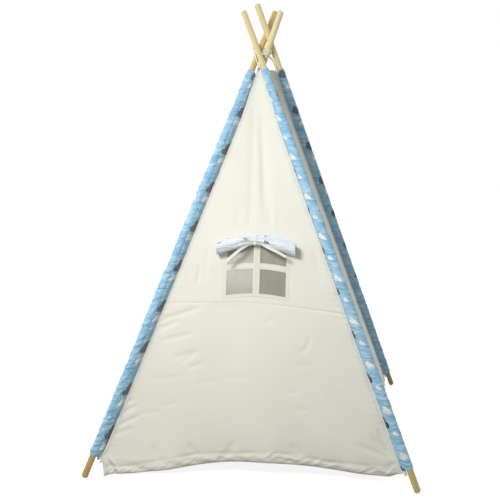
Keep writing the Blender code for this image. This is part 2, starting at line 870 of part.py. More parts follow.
def flap_hinge(side):
    """A flap folds along the outer face of its fold line; positive turns it out of the doorway."""
    foot, top = fold_foot(side), slit_top()
    normal = LEFT.normal(DOOR_TOP / 2)
    axis = (top - foot).normalized() * (1 if side == "front" else -1)
    return foot + normal * (CLOTH / 2), axis


def main():
    clear_scene()
    poles = {corner: make_pole(corner) for corner in CORNERS}
    sleeves = {corner: make_sleeve(corner) for corner in CORNERS}
    tabs = {corner: make_corner_tab(corner) for corner in CORNERS}
    front_lower, front_upper, right_wall, rear_wall = make_walls()
    window = make_window()
    roll = make_roll()
    ties = make_curtain_ties()
    yoke = make_yoke()
    panels = {side: make_door_panel(side) for side in ("front", "rear")}
    flaps = {side: make_door_flap(side) for side in ("front", "rear")}
    door_ties = {side: make_door_tie(side) for side in ("front", "rear")}
    cord_front, cord_winding, cord_rear = make_tie_cord()
    bpy.context.view_layer.update()

    own = {corner: [poles[corner], sleeves[corner], tabs[corner]] for corner in CORNERS}
    own["front_left"] += [front_lower, front_upper, *window, roll, *ties, yoke]
    own["front_left"] += [panels["front"], door_ties["front"], cord_front]
    own["front_right"] += [right_wall]
    own["rear_right"] += [rear_wall, cord_rear]
    own["rear_left"] += [panels["rear"], door_ties["rear"], cord_winding]

    root = pivot("front_left_frame", pole_foot("front_left"), UP, own["front_left"])
    frames = {"front_left": root}
    for fixed, moving in zip(CORNERS, CORNERS[1:]):
        place, axis = crossing_joint(fixed, moving)
        frames[moving] = pivot(f"{moving}_frame", place, axis, own[moving], frames[fixed])
        print(f"{moving} fold: pos {tuple(round(v, 5) for v in place)} axis {tuple(round(v, 5) for v in axis)}")
    for side in ("front", "rear"):
        place, axis = flap_hinge(side)
        pivot(f"door_flap_{side}_hinge", place, axis, [flaps[side]], frames[f"{side}_left"])
        print(f"{side} flap: pos {tuple(round(v, 5) for v in place)} axis {tuple(round(v, 5) for v in axis)}")


main()
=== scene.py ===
# %% [markdown]
# # A child's play teepee
# Four pine poles cross near their tops. A sewn canvas cover hangs between them, held by four printed sleeves.
# The front wall has a clear window with its curtain rolled up and tied above it.
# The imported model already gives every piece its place, in metres, and its joints. This lesson loads it first,
# and then makes a better-looking mesh for each piece. The helper says which solid a new mesh stands for.

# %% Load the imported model
import math
import random

import bmesh
import bpy
from mathutils import Matrix, Vector, noise


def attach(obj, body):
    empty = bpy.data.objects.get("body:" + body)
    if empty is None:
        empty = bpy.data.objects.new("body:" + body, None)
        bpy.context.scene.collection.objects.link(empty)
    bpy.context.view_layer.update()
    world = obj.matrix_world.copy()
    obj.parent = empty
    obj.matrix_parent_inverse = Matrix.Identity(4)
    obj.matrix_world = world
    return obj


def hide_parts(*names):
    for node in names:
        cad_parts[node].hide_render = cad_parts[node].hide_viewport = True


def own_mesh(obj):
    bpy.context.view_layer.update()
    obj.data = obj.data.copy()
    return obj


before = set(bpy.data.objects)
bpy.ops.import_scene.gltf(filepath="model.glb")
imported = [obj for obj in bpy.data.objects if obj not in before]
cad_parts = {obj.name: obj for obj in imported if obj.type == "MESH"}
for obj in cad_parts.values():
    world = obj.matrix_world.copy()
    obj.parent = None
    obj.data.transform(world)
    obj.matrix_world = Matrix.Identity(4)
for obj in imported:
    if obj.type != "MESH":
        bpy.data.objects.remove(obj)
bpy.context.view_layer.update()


def stands_for(made, node):
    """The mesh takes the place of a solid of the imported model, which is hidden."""
    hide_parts(node)
    return made


# %% [markdown]
# ## The camera
# The photograph was taken from in front, a little to the right, from a height of 1.12 m.
# One could place a camera by eye. Here its place, turn and lens come from a fit to the poles' feet, crossings and ends,
# because then every later difference from the photograph is one of shape or colour.
# A camera's turn is three angles: tilted up from straight down, hardly rolled, and turned a little to the left.

# %% Camera
camera = bpy.data.objects.new("camera", bpy.data.cameras.new("camera"))
bpy.context.scene.collection.objects.link(camera)
camera.location = (0.25793, -2.89292, 1.12097)
camera.rotation_euler = (math.pi / 2 - 0.14420, 0.0010, 0.10528)
camera.data.lens = 54.94
camera.data.sensor_width = 36
bpy.context.scene.camera = camera
bpy.context.scene.view_settings.view_transform = "Standard"
print("camera at", [round(part, 2) for part in camera.location], "with a lens of", round(camera.data.lens, 1), "mm")

# %% [markdown]
# ## A short way to write materials
# A material is a small net of nodes. It could be drawn by hand in the shader editor, but a script is easier to read
# again and to change. Each helper adds one node and gives back its output, so that a finish reads like a sum.
# An input is a number, a colour, or another node's output.


# %% Node helpers
def wired(tree, kind, *values, output=0, **settings):
    """One shader node with its settings and inputs, and its chosen output."""
    node = tree.nodes.new("ShaderNode" + kind)
    for name, value in settings.items():
        setattr(node, name, value)
    for socket, value in zip(node.inputs, values):
        if isinstance(value, bpy.types.NodeSocket):
            tree.links.new(value, socket)
        elif value is not None:
            socket.default_value = value
    return node.outputs[output]


def sums(tree, operation, *values):
    """One Math node."""
    return wired(tree, "Math", *values, operation=operation)


def tinted(tree, share, first, second):
    """A colour between two, by a share from 0 to 1."""
    node = tree.nodes.new("ShaderNodeMix")
    node.data_type = "RGBA"
    for socket, value in ((node.inputs[0], share), (node.inputs[6], first), (node.inputs[7], second)):
        if isinstance(value, bpy.types.NodeSocket):
            tree.links.new(value, socket)
        else:
            socket.default_value = value if socket == node.inputs[0] else (*value, 1)
    return node.outputs[2]


# %% Finish helpers
def bumped(tree, height, distance, strength=1.0, below=None):
    """A bump from a height between 0 and 1; distance is its depth in metres."""
    node = tree.nodes.new("ShaderNodeBump")
    node.inputs["Strength"].default_value = strength
    node.inputs["Distance"].default_value = distance
    tree.links.new(height, node.inputs["Height"])
    if below:
        tree.links.new(below, node.inputs["Normal"])
    return node.outputs[0]


def finish(name, roughness, sheen=0.0):
    """A new Principled material with its constant numbers set on the shader itself."""
    made = bpy.data.materials.new(name)
    made.use_nodes = True
    shader = made.node_tree.nodes["Principled BSDF"]
    shader.inputs["Roughness"].default_value = roughness
    shader.inputs["Sheen Weight"].default_value = sheen
    shader.inputs["Sheen Roughness"].default_value = 0.5
    return made, made.node_tree, shader


def plugged(tree, shader, colour, normal):
    """The finished colour and bumps go into the shader."""
    tree.links.new(colour, shader.inputs["Base Color"])
    tree.links.new(normal, shader.inputs["Normal"])


def looked_at(tree):
    """1 for what the camera, a reflection or clear film sees, and 0 for light that falls on things."""
    rays = tree.nodes.new("ShaderNodeLightPath")
    seen = sums(tree, "MAXIMUM", rays.outputs["Is Camera Ray"], rays.outputs["Is Glossy Ray"])
    return sums(tree, "MAXIMUM", seen, rays.outputs["Is Transmission Ray"])


# %% [markdown]
# ## Light, floor and backdrop
# The photograph is a studio picture on white. Its main light is a soft panel near the camera, a little to the left,
# so the cloth is brightest by the window and falls off towards the hem. The world fills the shadows, and two weak suns
# from behind light the sides that the panel doesn't reach. Together they show a colour about as it is written.
# The white behind the object is only what the camera, a reflection or clear film sees, and lights nothing.

# %% World and lamps
world = bpy.data.worlds.new("studio")
bpy.context.scene.world = world
world.use_nodes = True
sky = world.node_tree
sky.nodes.clear()
fill = wired(sky, "Background", (0.98, 1, 0.95, 1), 0.42)
white = wired(sky, "Background", (1, 1, 1, 1), 1.0)
tone = wired(sky, "MixShader", looked_at(sky), fill, white)
sky.links.new(tone, sky.nodes.new("ShaderNodeOutputWorld").inputs["Surface"])


def lamp(name, kind, place, aim, strength, colour=(1, 1, 1)):
    """A lamp at a place that shines towards its aim. The camera doesn't see the lamp itself."""
    data = bpy.data.lights.new(name, kind)
    data.energy = strength
    data.color = colour
    made = bpy.data.objects.new(name, data)
    bpy.context.scene.collection.objects.link(made)
    made.location = place
    made.rotation_euler = (Vector(place) - Vector(aim)).to_track_quat("Z", "Y").to_euler()
    made.visible_camera = False
    return data


panel_light = lamp("panel_light", "AREA", (-0.55, -1.45, 1.60), (0, -0.3, 0.8), 18.0, (1, 0.99, 0.975))
panel_light.size = 0.45
for name, place in (("right_light", (0.7, 0.6, 0.5)), ("left_light", (-0.8, 0.25, 0.4))):
    lamp(name, "SUN", place, (0, 0, 0), 0.8).angle = math.radians(50)
print("lamps", [light.name for light in bpy.data.lights])

# %% [markdown]
# ## Floor
# A wide pale disc. White paint and more light would do it too, but the light would bleach the cloth as well.
# So the disc is grey and glows only for what looks at it, on top of its lit colour: it comes out white in full light
# and keeps a faint shadow where the teepee stands.

# %% Floor
FLOOR_RADIUS = 14
bm = bmesh.new()
bmesh.ops.create_circle(bm, cap_ends=True, segments=64, radius=FLOOR_RADIUS)
floor_mesh = bpy.data.meshes.new("floor")
bm.to_mesh(floor_mesh)
bm.free()
floor = bpy.data.objects.new("floor", floor_mesh)
bpy.context.scene.collection.objects.link(floor)

pale, tree, shader = finish("pale_floor", 0.9)
shader.inputs["Base Color"].default_value = (0.36, 0.36, 0.35, 1)
shader.inputs["Specular IOR Level"].default_value = 0.0
glow = wired(tree, "Emission", (1, 1, 1, 1), sums(tree, "MULTIPLY", looked_at(tree), 0.87))
both = wired(tree, "AddShader", shader.outputs[0], glow)
tree.links.new(both, tree.nodes["Material Output"].inputs["Surface"])
floor_mesh.materials.append(pale)
print("floor", FLOOR_RADIUS * 2, "m wide")

# %% [markdown]
# ## Where the poles run
# Everything sewn follows the poles. Each pole stands on a corner of a square base and passes the crossing height
# a little beside the centre, because four round poles can't all go through one point.
# These lines give a point of a pole's axis at any height, and a point beside it.

# %% Pole lines
POLE_RADIUS = 0.011
BASE_HALF = 0.55
CROSSING_HEIGHT = 1.457
CORNERS = ["front_left", "front_right", "rear_right", "rear_left"]
SIDES = ((-1, -1), (1, -1), (1, 1), (-1, 1))
CROSSING_PLACES = ((-0.00616, 0), (-0.02068, -0.02442), (0.0352, 0.01001), (0.02519, -0.023408))
FEET = {corner: Vector((x * BASE_HALF, y * BASE_HALF, 0)) for corner, (x, y) in zip(CORNERS, SIDES)}
CROSSINGS = {corner: Vector((*place, CROSSING_HEIGHT)) for corner, place in zip(CORNERS, CROSSING_PLACES)}
AXES = {corner: (CROSSINGS[corner] - FEET[corner]).normalized() for corner in CORNERS}
UP = Vector((0, 0, 1))
print("poles lean", {corner: round(math.degrees(AXES[corner].angle(UP)), 1) for corner in CORNERS})


# %% Small measures
def plan(vector):
    """The horizontal direction of a vector, at length one."""
    return Vector((vector.x, vector.y, 0)).normalized()


def between(low, high, share):
    """The value a share of the way from low to high."""
    return low + (high - low) * share


def eased(share):
    """From 0 to 1 with a soft start and end."""
    share = min(max(share, 0), 1)
    return share * share * (3 - 2 * share)


# %% Points of a pole
def pole_at(corner, height):
    """The point of a pole's axis at a height."""
    return FEET[corner] + AXES[corner] * (height / AXES[corner].z)


def beside_pole(corner, height, bearing, distance):
    """A point level with height, at a distance measured square to the pole's axis."""
    lean = plan(AXES[corner])
    bearing = plan(bearing)
    along = lean * bearing.dot(lean)
    return pole_at(corner, height) + (along / AXES[corner].z + (bearing - along)) * distance


def inward(corner, height):
    """Plan direction that halves the angle between the two walls that meet at a pole."""
    place = CORNERS.index(corner)
    here = pole_at(corner, height)
    before = plan(pole_at(CORNERS[place - 1], height) - here)
    after = plan(pole_at(CORNERS[(place + 1) % 4], height) - here)
    return plan(before + after)


spans = [(pole_at(one, 0.5) - pole_at(other, 0.5)).length for one, other in zip(CORNERS, CORNERS[1:])]
print("poles stand", [round(span, 3) for span in spans], "m apart at half a metre")

# %% [markdown]
# ## Poles
# The poles are turned softwood dowels with domed ends, 1.80 m long. A cylinder with bevelled ends would come close,
# but a lathe makes the real ones, and spinning is the same idea: half of a pole's outline is spun about
# an upright axis. The pole is then leant, low enough along its line for the dome of its foot to rest on the floor.

# %% Round poles
POLE_END, DOME = 1.8043, 0.007


def dowel(corner):
    """One pole, spun from its outline and leant to its line."""
    bm = bmesh.new()
    lean = AXES[corner].angle(UP)
    tip = math.hypot(DOME * math.cos(lean), POLE_RADIUS * math.sin(lean)) / math.cos(lean) - DOME
    bends = [math.sin(math.pi / 2 * i / 8) for i in range(9)]
    outline = [(POLE_RADIUS * bend, tip + DOME * (1 - math.sqrt(1 - bend * bend))) for bend in bends]
    outline += [(POLE_RADIUS * bend, POLE_END - DOME * (1 - math.sqrt(1 - bend * bend))) for bend in reversed(bends)]
    points = [bm.verts.new((out, 0, along)) for out, along in outline]
    half = points + [bm.edges.new(pair) for pair in zip(points, points[1:])]
    bmesh.ops.spin(bm, geom=half, axis=(0, 0, 1), cent=(0, 0, 0), steps=48, angle=math.tau, use_merge=True)
    bmesh.ops.remove_doubles(bm, verts=bm.verts, dist=1e-6)
    bmesh.ops.recalc_face_normals(bm, faces=bm.faces)
    stand = Matrix.Translation(FEET[corner]) @ UP.rotation_difference(AXES[corner]).to_matrix().to_4x4()
    bmesh.ops.transform(bm, verts=bm.verts, matrix=stand)
    mesh = bpy.data.meshes.new(f"{corner}_dowel")
    bm.to_mesh(mesh)
    bm.free()
    mesh.shade_smooth()
    made = bpy.data.objects.new(f"{corner}_dowel", mesh)
    bpy.context.scene.collection.objects.link(made)
    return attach(stands_for(made, f"{corner}_pole"), f"{corner}_frame")


dowels = {corner: dowel(corner) for corner in CORNERS}
for corner, made in dowels.items():
    heights = [vert.co.z for vert in made.data.vertices]
    print(made.name, "from", round(min(heights), 4), "to", round(max(heights), 4), "m")

# %% [markdown]
# ## Pine
# The wood has straight grain along the pole, faint yearly rings on the end and a thin satin varnish.
# A picture of wood could be wrapped round it, but it would show a seam and wouldn't fit the ends. So the wood is solid:
# its rings are a wave that spreads from a line beside the pole, as a dowel is cut from beside the heart of a tree.
# A Mapping node turns each pole's own length to the z axis, so one recipe fits all four leans.
# The feet are darker and more yellow, as in the photograph: this is painted shade for the weaker light near the floor.


# %% Pine for each pole
def pine(corner, heart, light, ring, foot):
    """The wood of one pole; heart is how far its axis lies from the heart of the tree."""
    made, tree, shader = finish(f"{corner}_pine", 0.42)
    shader.inputs["Coat Weight"].default_value = 0.25
    shader.inputs["Coat Roughness"].default_value = 0.25
    place = wired(tree, "TexCoord", output=3)
    upright = AXES[corner].rotation_difference(UP).to_euler()
    shift = -(AXES[corner].rotation_difference(UP) @ FEET[corner])
    wood = wired(tree, "Mapping", place, tuple(shift), tuple(upright))
    offset = wired(tree, "VectorMath", wood, heart, operation="ADD")
    stretched = wired(tree, "Mapping", offset, None, None, (1, 1, 0.06))
    rings = wired(
        tree, "TexWave", stretched, 95.0, 2.6, 2.0, 1.6, 0.5, output=1, wave_type="RINGS", rings_direction="Z",
    )
    threads = wired(tree, "Mapping", offset, None, None, (1, 1, 0.02))
    fibre = wired(tree, "TexNoise", threads, None, 900.0, 4.0, 0.6)
    broad = wired(tree, "Mapping", offset, None, None, (1, 1, 0.25))
    patches = wired(tree, "TexNoise", broad, None, 16.0, 2.0, 0.5)
    colour = tinted(tree, sums(tree, "MULTIPLY", rings, 0.62), light, ring)
    colour = tinted(tree, sums(tree, "MULTIPLY", patches, 0.42), colour, tuple(1.08 * part for part in light))
    colour = tinted(tree, sums(tree, "MULTIPLY", fibre, 0.22), colour, tuple(0.7 * part for part in ring))
    up = wired(tree, "SeparateXYZ", wood, output=2)
    # Painted shade: from 0.22 m down to 0.06 m each pole blends towards its dark foot tone.
    painted_foot_shade = wired(tree, "MapRange", up, 0.22, 0.06, 0.0, 0.85, interpolation_type="SMOOTHSTEP")
    colour = tinted(tree, painted_foot_shade, colour, foot)
    grain = bumped(tree, fibre, 0.0002, 0.6)
    plugged(tree, shader, colour, bumped(tree, rings, 0.0002, 0.4, grain))
    return made


# Light wood, yearly rings, and the foot's tone with its painted shade.
PINE_TONES = {
    "front_left": ((0.74, 0.54, 0.22), (0.58, 0.37, 0.12), (0.47, 0.31, 0.08)),
    "front_right": ((0.76, 0.65, 0.33), (0.62, 0.48, 0.19), (0.50, 0.42, 0.15)),
    "rear_right": ((0.83, 0.74, 0.39), (0.62, 0.50, 0.20), (0.21, 0.165, 0.035)),
    "rear_left": ((0.85, 0.75, 0.44), (0.66, 0.53, 0.24), (0.47, 0.36, 0.12)),
}
for number, corner in enumerate(CORNERS):
    heart = (0.021 + 0.006 * number, -0.018 + 0.009 * number, 0.31 * number)
    dowels[corner].data.materials.append(pine(corner, heart, *PINE_TONES[corner]))
print("pine tones", {corner: tones[0] for corner, tones in PINE_TONES.items()})

# %% [markdown]
# ## Canvas
# The cover is plain-woven cotton, nearly white with a warm cast. Its threads are about 0.7 mm apart.
# Modelled threads would need millions of faces, so the material draws the weave, the stitches and the folded hems.
# They follow the cloth through its UV map, which is in metres, and through how far each point lies from a sewn edge.
# Two waves at right angles, multiplied, give threads over and under.


# %% Weave and stitches
DASHES_PER_METRE, DASH_SHARE, THREAD_HALF = 310.0, 0.68, 0.00045


def weave(tree, flat, pitch):
    """Threads over and under, as a height from 0 to 1. A wave repeats every 0.63 of the pitch."""
    waves = [
        wired(tree, "TexWave", flat, 0.5 / pitch, 0.6, 1.0, 4.0, 0.5, output=1, wave_type="BANDS", bands_direction=way)
        for way in "XY"
    ]
    return sums(tree, "MULTIPLY", *waves)


def near(tree, value, place, half_width):
    """1 where a value is within half_width of a place."""
    return sums(tree, "LESS_THAN", sums(tree, "ABSOLUTE", sums(tree, "SUBTRACT", value, place)), half_width)


def stitches(tree, flat, distance, inset):
    """Dashes of thread that run beside an edge, at an inset from it."""
    parts = wired(tree, "SeparateXYZ", flat).node
    run = sums(tree, "ADD", parts.outputs[0], parts.outputs[1])
    part = sums(tree, "FRACT", sums(tree, "MULTIPLY", run, DASHES_PER_METRE))
    return sums(tree, "MULTIPLY", near(tree, distance, inset, THREAD_HALF), sums(tree, "LESS_THAN", part, DASH_SHARE))


def cloth_normal(tree, threads, sewn, hem):
    """Bumps of the weave, the stitches and the edge of a folded hem, one on another."""
    normal = bumped(tree, threads, 0.00018, 0.55)
    normal = bumped(tree, hem, 0.0009, 0.8, normal)
    return bumped(tree, sewn, 0.0006, 0.9, normal)


def edge_parts(tree):
    """The distances to a side seam, a hem and the window's edge, kept on the mesh."""
    return wired(tree, "Attribute", output=1, attribute_name="edges", attribute_type="GEOMETRY")


# %% Canvas and tape
# Rows of stitches inside a side seam, a hem and the window's edge, and how deep the cloth is folded there.
SEAM_ROWS, HEM_ROWS, WINDOW_ROWS = (0.006, 0.0085), (0.004, 0.027), (0.004, 0.010)
SEAM_DEPTH, HEM_DEPTH, WINDOW_DEPTH = 0.010, 0.029, 0.0115
CANVAS_PITCH = 0.0011


def canvas(name, light, shade):
    """Woven cotton with its stitched seams and hems drawn on."""
    made, tree, shader = finish(name, 0.93, 0.15)
    flat = wired(tree, "UVMap", uv_map="cloth")
    edges = wired(tree, "SeparateXYZ", edge_parts(tree)).node
    side, hem, window = edges.outputs
    sewn, folded = 0.0, 0.0
    for distance, rows, depth in (
        (side, SEAM_ROWS, SEAM_DEPTH), (hem, HEM_ROWS, HEM_DEPTH), (window, WINDOW_ROWS, WINDOW_DEPTH),
    ):
        for inset in rows:
            sewn = sums(tree, "MAXIMUM", sewn, stitches(tree, flat, distance, inset))
        folded = sums(tree, "MAXIMUM", folded, sums(tree, "LESS_THAN", distance, depth))
    threads = weave(tree, flat, CANVAS_PITCH)
    broad = wired(tree, "TexNoise", flat, None, 7.0, 3.0, 0.55)
    drawn_out = wired(tree, "Mapping", flat, None, None, (1, 0.06, 1))
    slubs = wired(tree, "TexNoise", drawn_out, None, 700.0, 2.0, 0.5)
    colour = tinted(tree, broad, light, shade)
    colour = tinted(tree, sums(tree, "MULTIPLY", slubs, 0.14), colour, tuple(0.80 * part for part in shade))
    colour = tinted(tree, sums(tree, "MULTIPLY", sewn, 0.5), colour, (0.93, 0.92, 0.88))
    plugged(tree, shader, colour, cloth_normal(tree, threads, sewn, folded))
    return made


CANVAS = canvas("canvas", (0.89, 0.87, 0.79), (0.85, 0.825, 0.74))
TAPE = canvas("tape", (0.89, 0.87, 0.80), (0.85, 0.825, 0.745))
print("cotton finishes", CANVAS.name, TAPE.name)

# %% [markdown]
# ## The printed cloth
# The sleeves and the curtain are light blue cotton with a simple generic sky print: white clouds and slate clouds.
# A picture could hold the print, but nodes stay sharp at any distance and need no file. A cloud is a few overlapping
# circles above a straight base, drawn in the cloth's own UV metres and repeated in cells.
# Each strip is cut from another place of the cloth, so each material gives its motifs their own places.
# The curtain shows the paler wrong side of the same cloth. Level creases show as short pale streaks: a noise that is
# squeezed upwards gives their bumps, and also paints the blue ground paler on them and darker between them, as painted
# highlight and painted shade.


# %% Cloud print
def cloud(tree, spot, circles, base):
    """1 inside any of the circles and above the base line."""
    inside = None
    for x, y, radius in circles:
        gap = wired(tree, "VectorMath", spot, (x, y, 0), operation="DISTANCE", output=1)
        one = sums(tree, "LESS_THAN", gap, radius)
        inside = one if inside is None else sums(tree, "MAXIMUM", inside, one)
    height = wired(tree, "SeparateXYZ", spot, output=1)
    return sums(tree, "MULTIPLY", inside, sums(tree, "GREATER_THAN", height, base))


def repeated(tree, flat, cell, x, y, size):
    """The place seen from a motif's own middle, where the cloth repeats in cells, in units of the motif's size."""
    width, height = cell
    moved = wired(tree, "VectorMath", flat, (width / 2 - x, height / 2 - y, 0), operation="ADD")
    wrapped = wired(tree, "VectorMath", moved, (width, height, 1), (0, 0, 0), operation="WRAP")
    centred = wired(tree, "VectorMath", wrapped, (width / 2, height / 2, 0), operation="SUBTRACT")
    return wired(tree, "VectorMath", centred, (1 / size, 1 / size, 0), operation="MULTIPLY")


# Circles of each motif: x, y and radius, in units of its size, and the height of its straight base.
WHITE_CLOUD = (((-0.62, -0.10, 0.40), (-0.12, 0.22, 0.58), (0.48, 0.02, 0.44), (0.85, -0.16, 0.26)), -0.36)
SLATE_CLOUD = (((-0.60, -0.15, 0.50), (-0.10, 0.35, 0.70), (0.10, -0.35, 0.60), (0.60, -0.02, 0.55)), -0.78)


def union(tree, drawn, cell, outline, motifs):
    """1 where any of the motifs is."""
    inside = 0.0
    for x, y, size in motifs:
        inside = sums(tree, "MAXIMUM", inside, cloud(tree, repeated(tree, drawn, cell, x, y, size), *outline))
    return inside


# %% Printed cotton
PRINT_PITCH = 0.0009


def printed(name, whites, slates, slate=(0.145, 0.165, 0.21), cell=(0.125, 0.155), pale=0.0):
    """The print with its motifs at places within one repeat; pale is how much of the wrong side shows."""
    made, tree, shader = finish(name, 0.92, 0.15)
    flat = wired(tree, "UVMap", uv_map="cloth")
    edges = wired(tree, "SeparateXYZ", edge_parts(tree)).node
    warp = wired(tree, "TexNoise", flat, None, 150.0, 1.0, 0.5, output=1)
    loose = wired(tree, "VectorMath", warp, (0.5, 0.5, 0.5), operation="SUBTRACT")
    loose = wired(tree, "VectorMath", loose, (0.003, 0.003, 0), operation="MULTIPLY")
    drawn = wired(tree, "VectorMath", flat, loose, operation="ADD")
    level = wired(tree, "Mapping", wired(tree, "TexCoord", output=3), None, None, (15, 15, 88))
    # Painted highlight and painted shade: the crease noise makes the blue ground paler on the creases and darker
    # between them, and also gives their bumps.
    crease_shade_and_height = wired(tree, "MapRange", wired(tree, "TexNoise", level, None, 1.0, 3.0, 0.62), 0.34, 0.66, 0.0, 1.0)
    colour = tinted(tree, crease_shade_and_height, (0.23, 0.49, 0.74), (0.48, 0.73, 0.90))
    colour = tinted(tree, union(tree, drawn, cell, WHITE_CLOUD, whites), colour, (0.87, 0.89, 0.87))
    if pale:
        colour = tinted(tree, pale, colour, (0.87, 0.90, 0.95))
    colour = tinted(tree, union(tree, drawn, cell, SLATE_CLOUD, slates), colour, slate)
    side, end, _ = edges.outputs
    sewn = sums(tree, "MAXIMUM", stitches(tree, flat, side, 0.004), stitches(tree, flat, end, 0.008))
    colour = tinted(tree, sums(tree, "MULTIPLY", sewn, 0.5), colour, (0.80, 0.86, 0.90))
    folded = sums(tree, "LESS_THAN", end, SEAM_DEPTH)
    normal = cloth_normal(tree, weave(tree, flat, PRINT_PITCH), sewn, folded)
    plugged(tree, shader, colour, bumped(tree, crease_shade_and_height, 0.0045, 0.8, normal))
    return made


# %% [markdown]
# ## Making cloth from a flat grid
# Cloth could be simulated, or its shape sculpted. But the photograph shows where each fold lies, so here it is placed.
# Sewing starts from flat cloth, and so does this: an operator lays a flat grid, its flat place is kept as the UV map,
# and then each point is moved to where the cloth hangs. Solidify gives it a real thickness at the end.
# Rows and columns can crowd towards the edges, where seams pucker and need more points.


# %% Cloth helpers
def flat_grid(across, up, crowd_across=0.0, crowd_up=0.0):
    """A grid from 0 to 1 both ways, with closer lines at its edges where crowd is above 0."""
    bm = bmesh.new()
    bmesh.ops.create_grid(bm, x_segments=across, y_segments=up, size=0.5)
    bmesh.ops.translate(bm, verts=bm.verts, vec=(0.5, 0.5, 0))
    for vert in bm.verts:
        vert.co.x -= crowd_across * math.sin(math.tau * vert.co.x) / math.tau
        vert.co.y -= crowd_up * math.sin(math.tau * vert.co.y) / math.tau
    return bm


def hang(bm, flat, place, edges=None):
    """Keeps each point's flat place as UV and its distances to sewn edges, then moves it to where it hangs."""
    uv = bm.loops.layers.uv.new("cloth")
    sewn = bm.verts.layers.float_vector.new("edges")
    spots = {vert: vert.co.xy.copy() for vert in bm.verts}
    for vert, spot in spots.items():
        vert[sewn] = Vector(edges(*spot)) if edges else Vector((1, 1, 1))
    for face in bm.faces:
        for loop in face.loops:
            loop[uv].uv = flat(*spots[loop.vert])
    for vert, spot in spots.items():
        vert.co = place(*spot)


# %% Finished cloth
def sewn_piece(name, bm, material, thickness=0, side=0, closed=False):
    """The finished piece: thickness by Solidify, smooth faces with crisp rims, at the origin."""
    if closed:
        bmesh.ops.remove_doubles(bm, verts=bm.verts, dist=1e-5)
    mesh = bpy.data.meshes.new(name)
    bm.to_mesh(mesh)
    bm.free()
    made = bpy.data.objects.new(name, mesh)
    bpy.context.scene.collection.objects.link(made)
    mesh.materials.append(material)
    if thickness:
        solid = made.modifiers.new("thickness", "SOLIDIFY")
        solid.thickness = thickness
        solid.offset = side
        bpy.context.view_layer.update()
        evaluated = made.evaluated_get(bpy.context.evaluated_depsgraph_get())
        made.data = bpy.data.meshes.new_from_object(evaluated)
        made.data.name = name
        made.modifiers.clear()
    made.data.shade_smooth()
    made.data.set_sharp_from_angle(angle=math.radians(50))
    return made


def cloth_area(made):
    """Area of one side of the cloth, in square metres."""
    return sum(face.area for face in made.data.polygons) / 2


# %% [markdown]
# ## Folding with the poles
# When the poles fold, the cover gathers between them like a closed umbrella's. A simulation could show that, but slowly
# and a little differently each time, and a rigid body can't show it at all. Here each piece of cloth only rides on one
# pole's body, and keeps its shape as the joint turns.


# %% Riding on a body
def gathers(made, body, corner, other):
    """The piece rides on a body and gets a mesh of its own."""
    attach(made, body)
    run = pole_at(other, 0.5) - pole_at(corner, 0.5)
    tuple(pole_at(corner, 0.7))
    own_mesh(made)
    return made


def gathers_front(made):
    """The front wall and all that it carries ride on the front left pole's body."""
    return gathers(made, "front_left_frame", "front_left", "front_right")


# %% [markdown]
# ## The walls' planes
# A wall is the cloth between two corner seams. Each seam lies inside its pole, and nearer to it at the top,
# where the walls run out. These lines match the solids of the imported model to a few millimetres, apart from
# the rear right pole's: there the seam lies 8 mm nearer to the pole, as the photograph shows.

# %% Corner seams
CLOTH = 0.0012
FIT = 0.0004
COVER_TOP = 1.375
SLEEVE_BOTTOM, SLEEVE_TOP = 0.070, 1.381
SLEEVE_RADIUS = POLE_RADIUS + 0.0009 + CLOTH
SEAM_REACH, SEAM_REACH_TOP, SEAM_TAPER_START = 0.035, 0.0165, 1.18


def seam_reach(corner, height):
    """How far the corner seam lies from the pole's axis. The rear right walls are pulled closer to their pole."""
    share = min(max((height - SEAM_TAPER_START) / (SLEEVE_TOP - SEAM_TAPER_START), 0), 1)
    return between(0.027 if corner == "rear_right" else SEAM_REACH, SEAM_REACH_TOP, share)


def corner_seam(corner, height):
    """The line where two walls and a sleeve are sewn together."""
    return beside_pole(corner, height, inward(corner, height), seam_reach(corner, height))


def squared(corner, height, point):
    """The point slid along the pole until it is square across from the axis at a height, as a sleeve's end is cut."""
    return point - AXES[corner] * (point - pole_at(corner, height)).dot(AXES[corner])


SEWN_END = {corner: squared(corner, SLEEVE_BOTTOM, corner_seam(corner, SLEEVE_BOTTOM)).z for corner in CORNERS}
print("seams end below at", {corner: round(height, 4) for corner, height in SEWN_END.items()}, "m")


def corner_clearance(run, corner, height):
    """How far along its run a wall starts, to clear the sleeve's seam and the wall that meets it there."""
    half = run.angle(inward(corner, height))
    return max(CLOTH / 2 + FIT, (FIT + CLOTH / 2 * math.cos(half)) / math.sin(half))


# %% [markdown]
# ## A wall's surface
# A wall could be one flat face, but real cloth sinks in where it is slack, and its hem ripples. A small class holds
# the two seams of a wall and gives the point for any share of its width and any height. The seams are worked out
# every 5 mm and kept, because each wall asks for them tens of thousands of times.

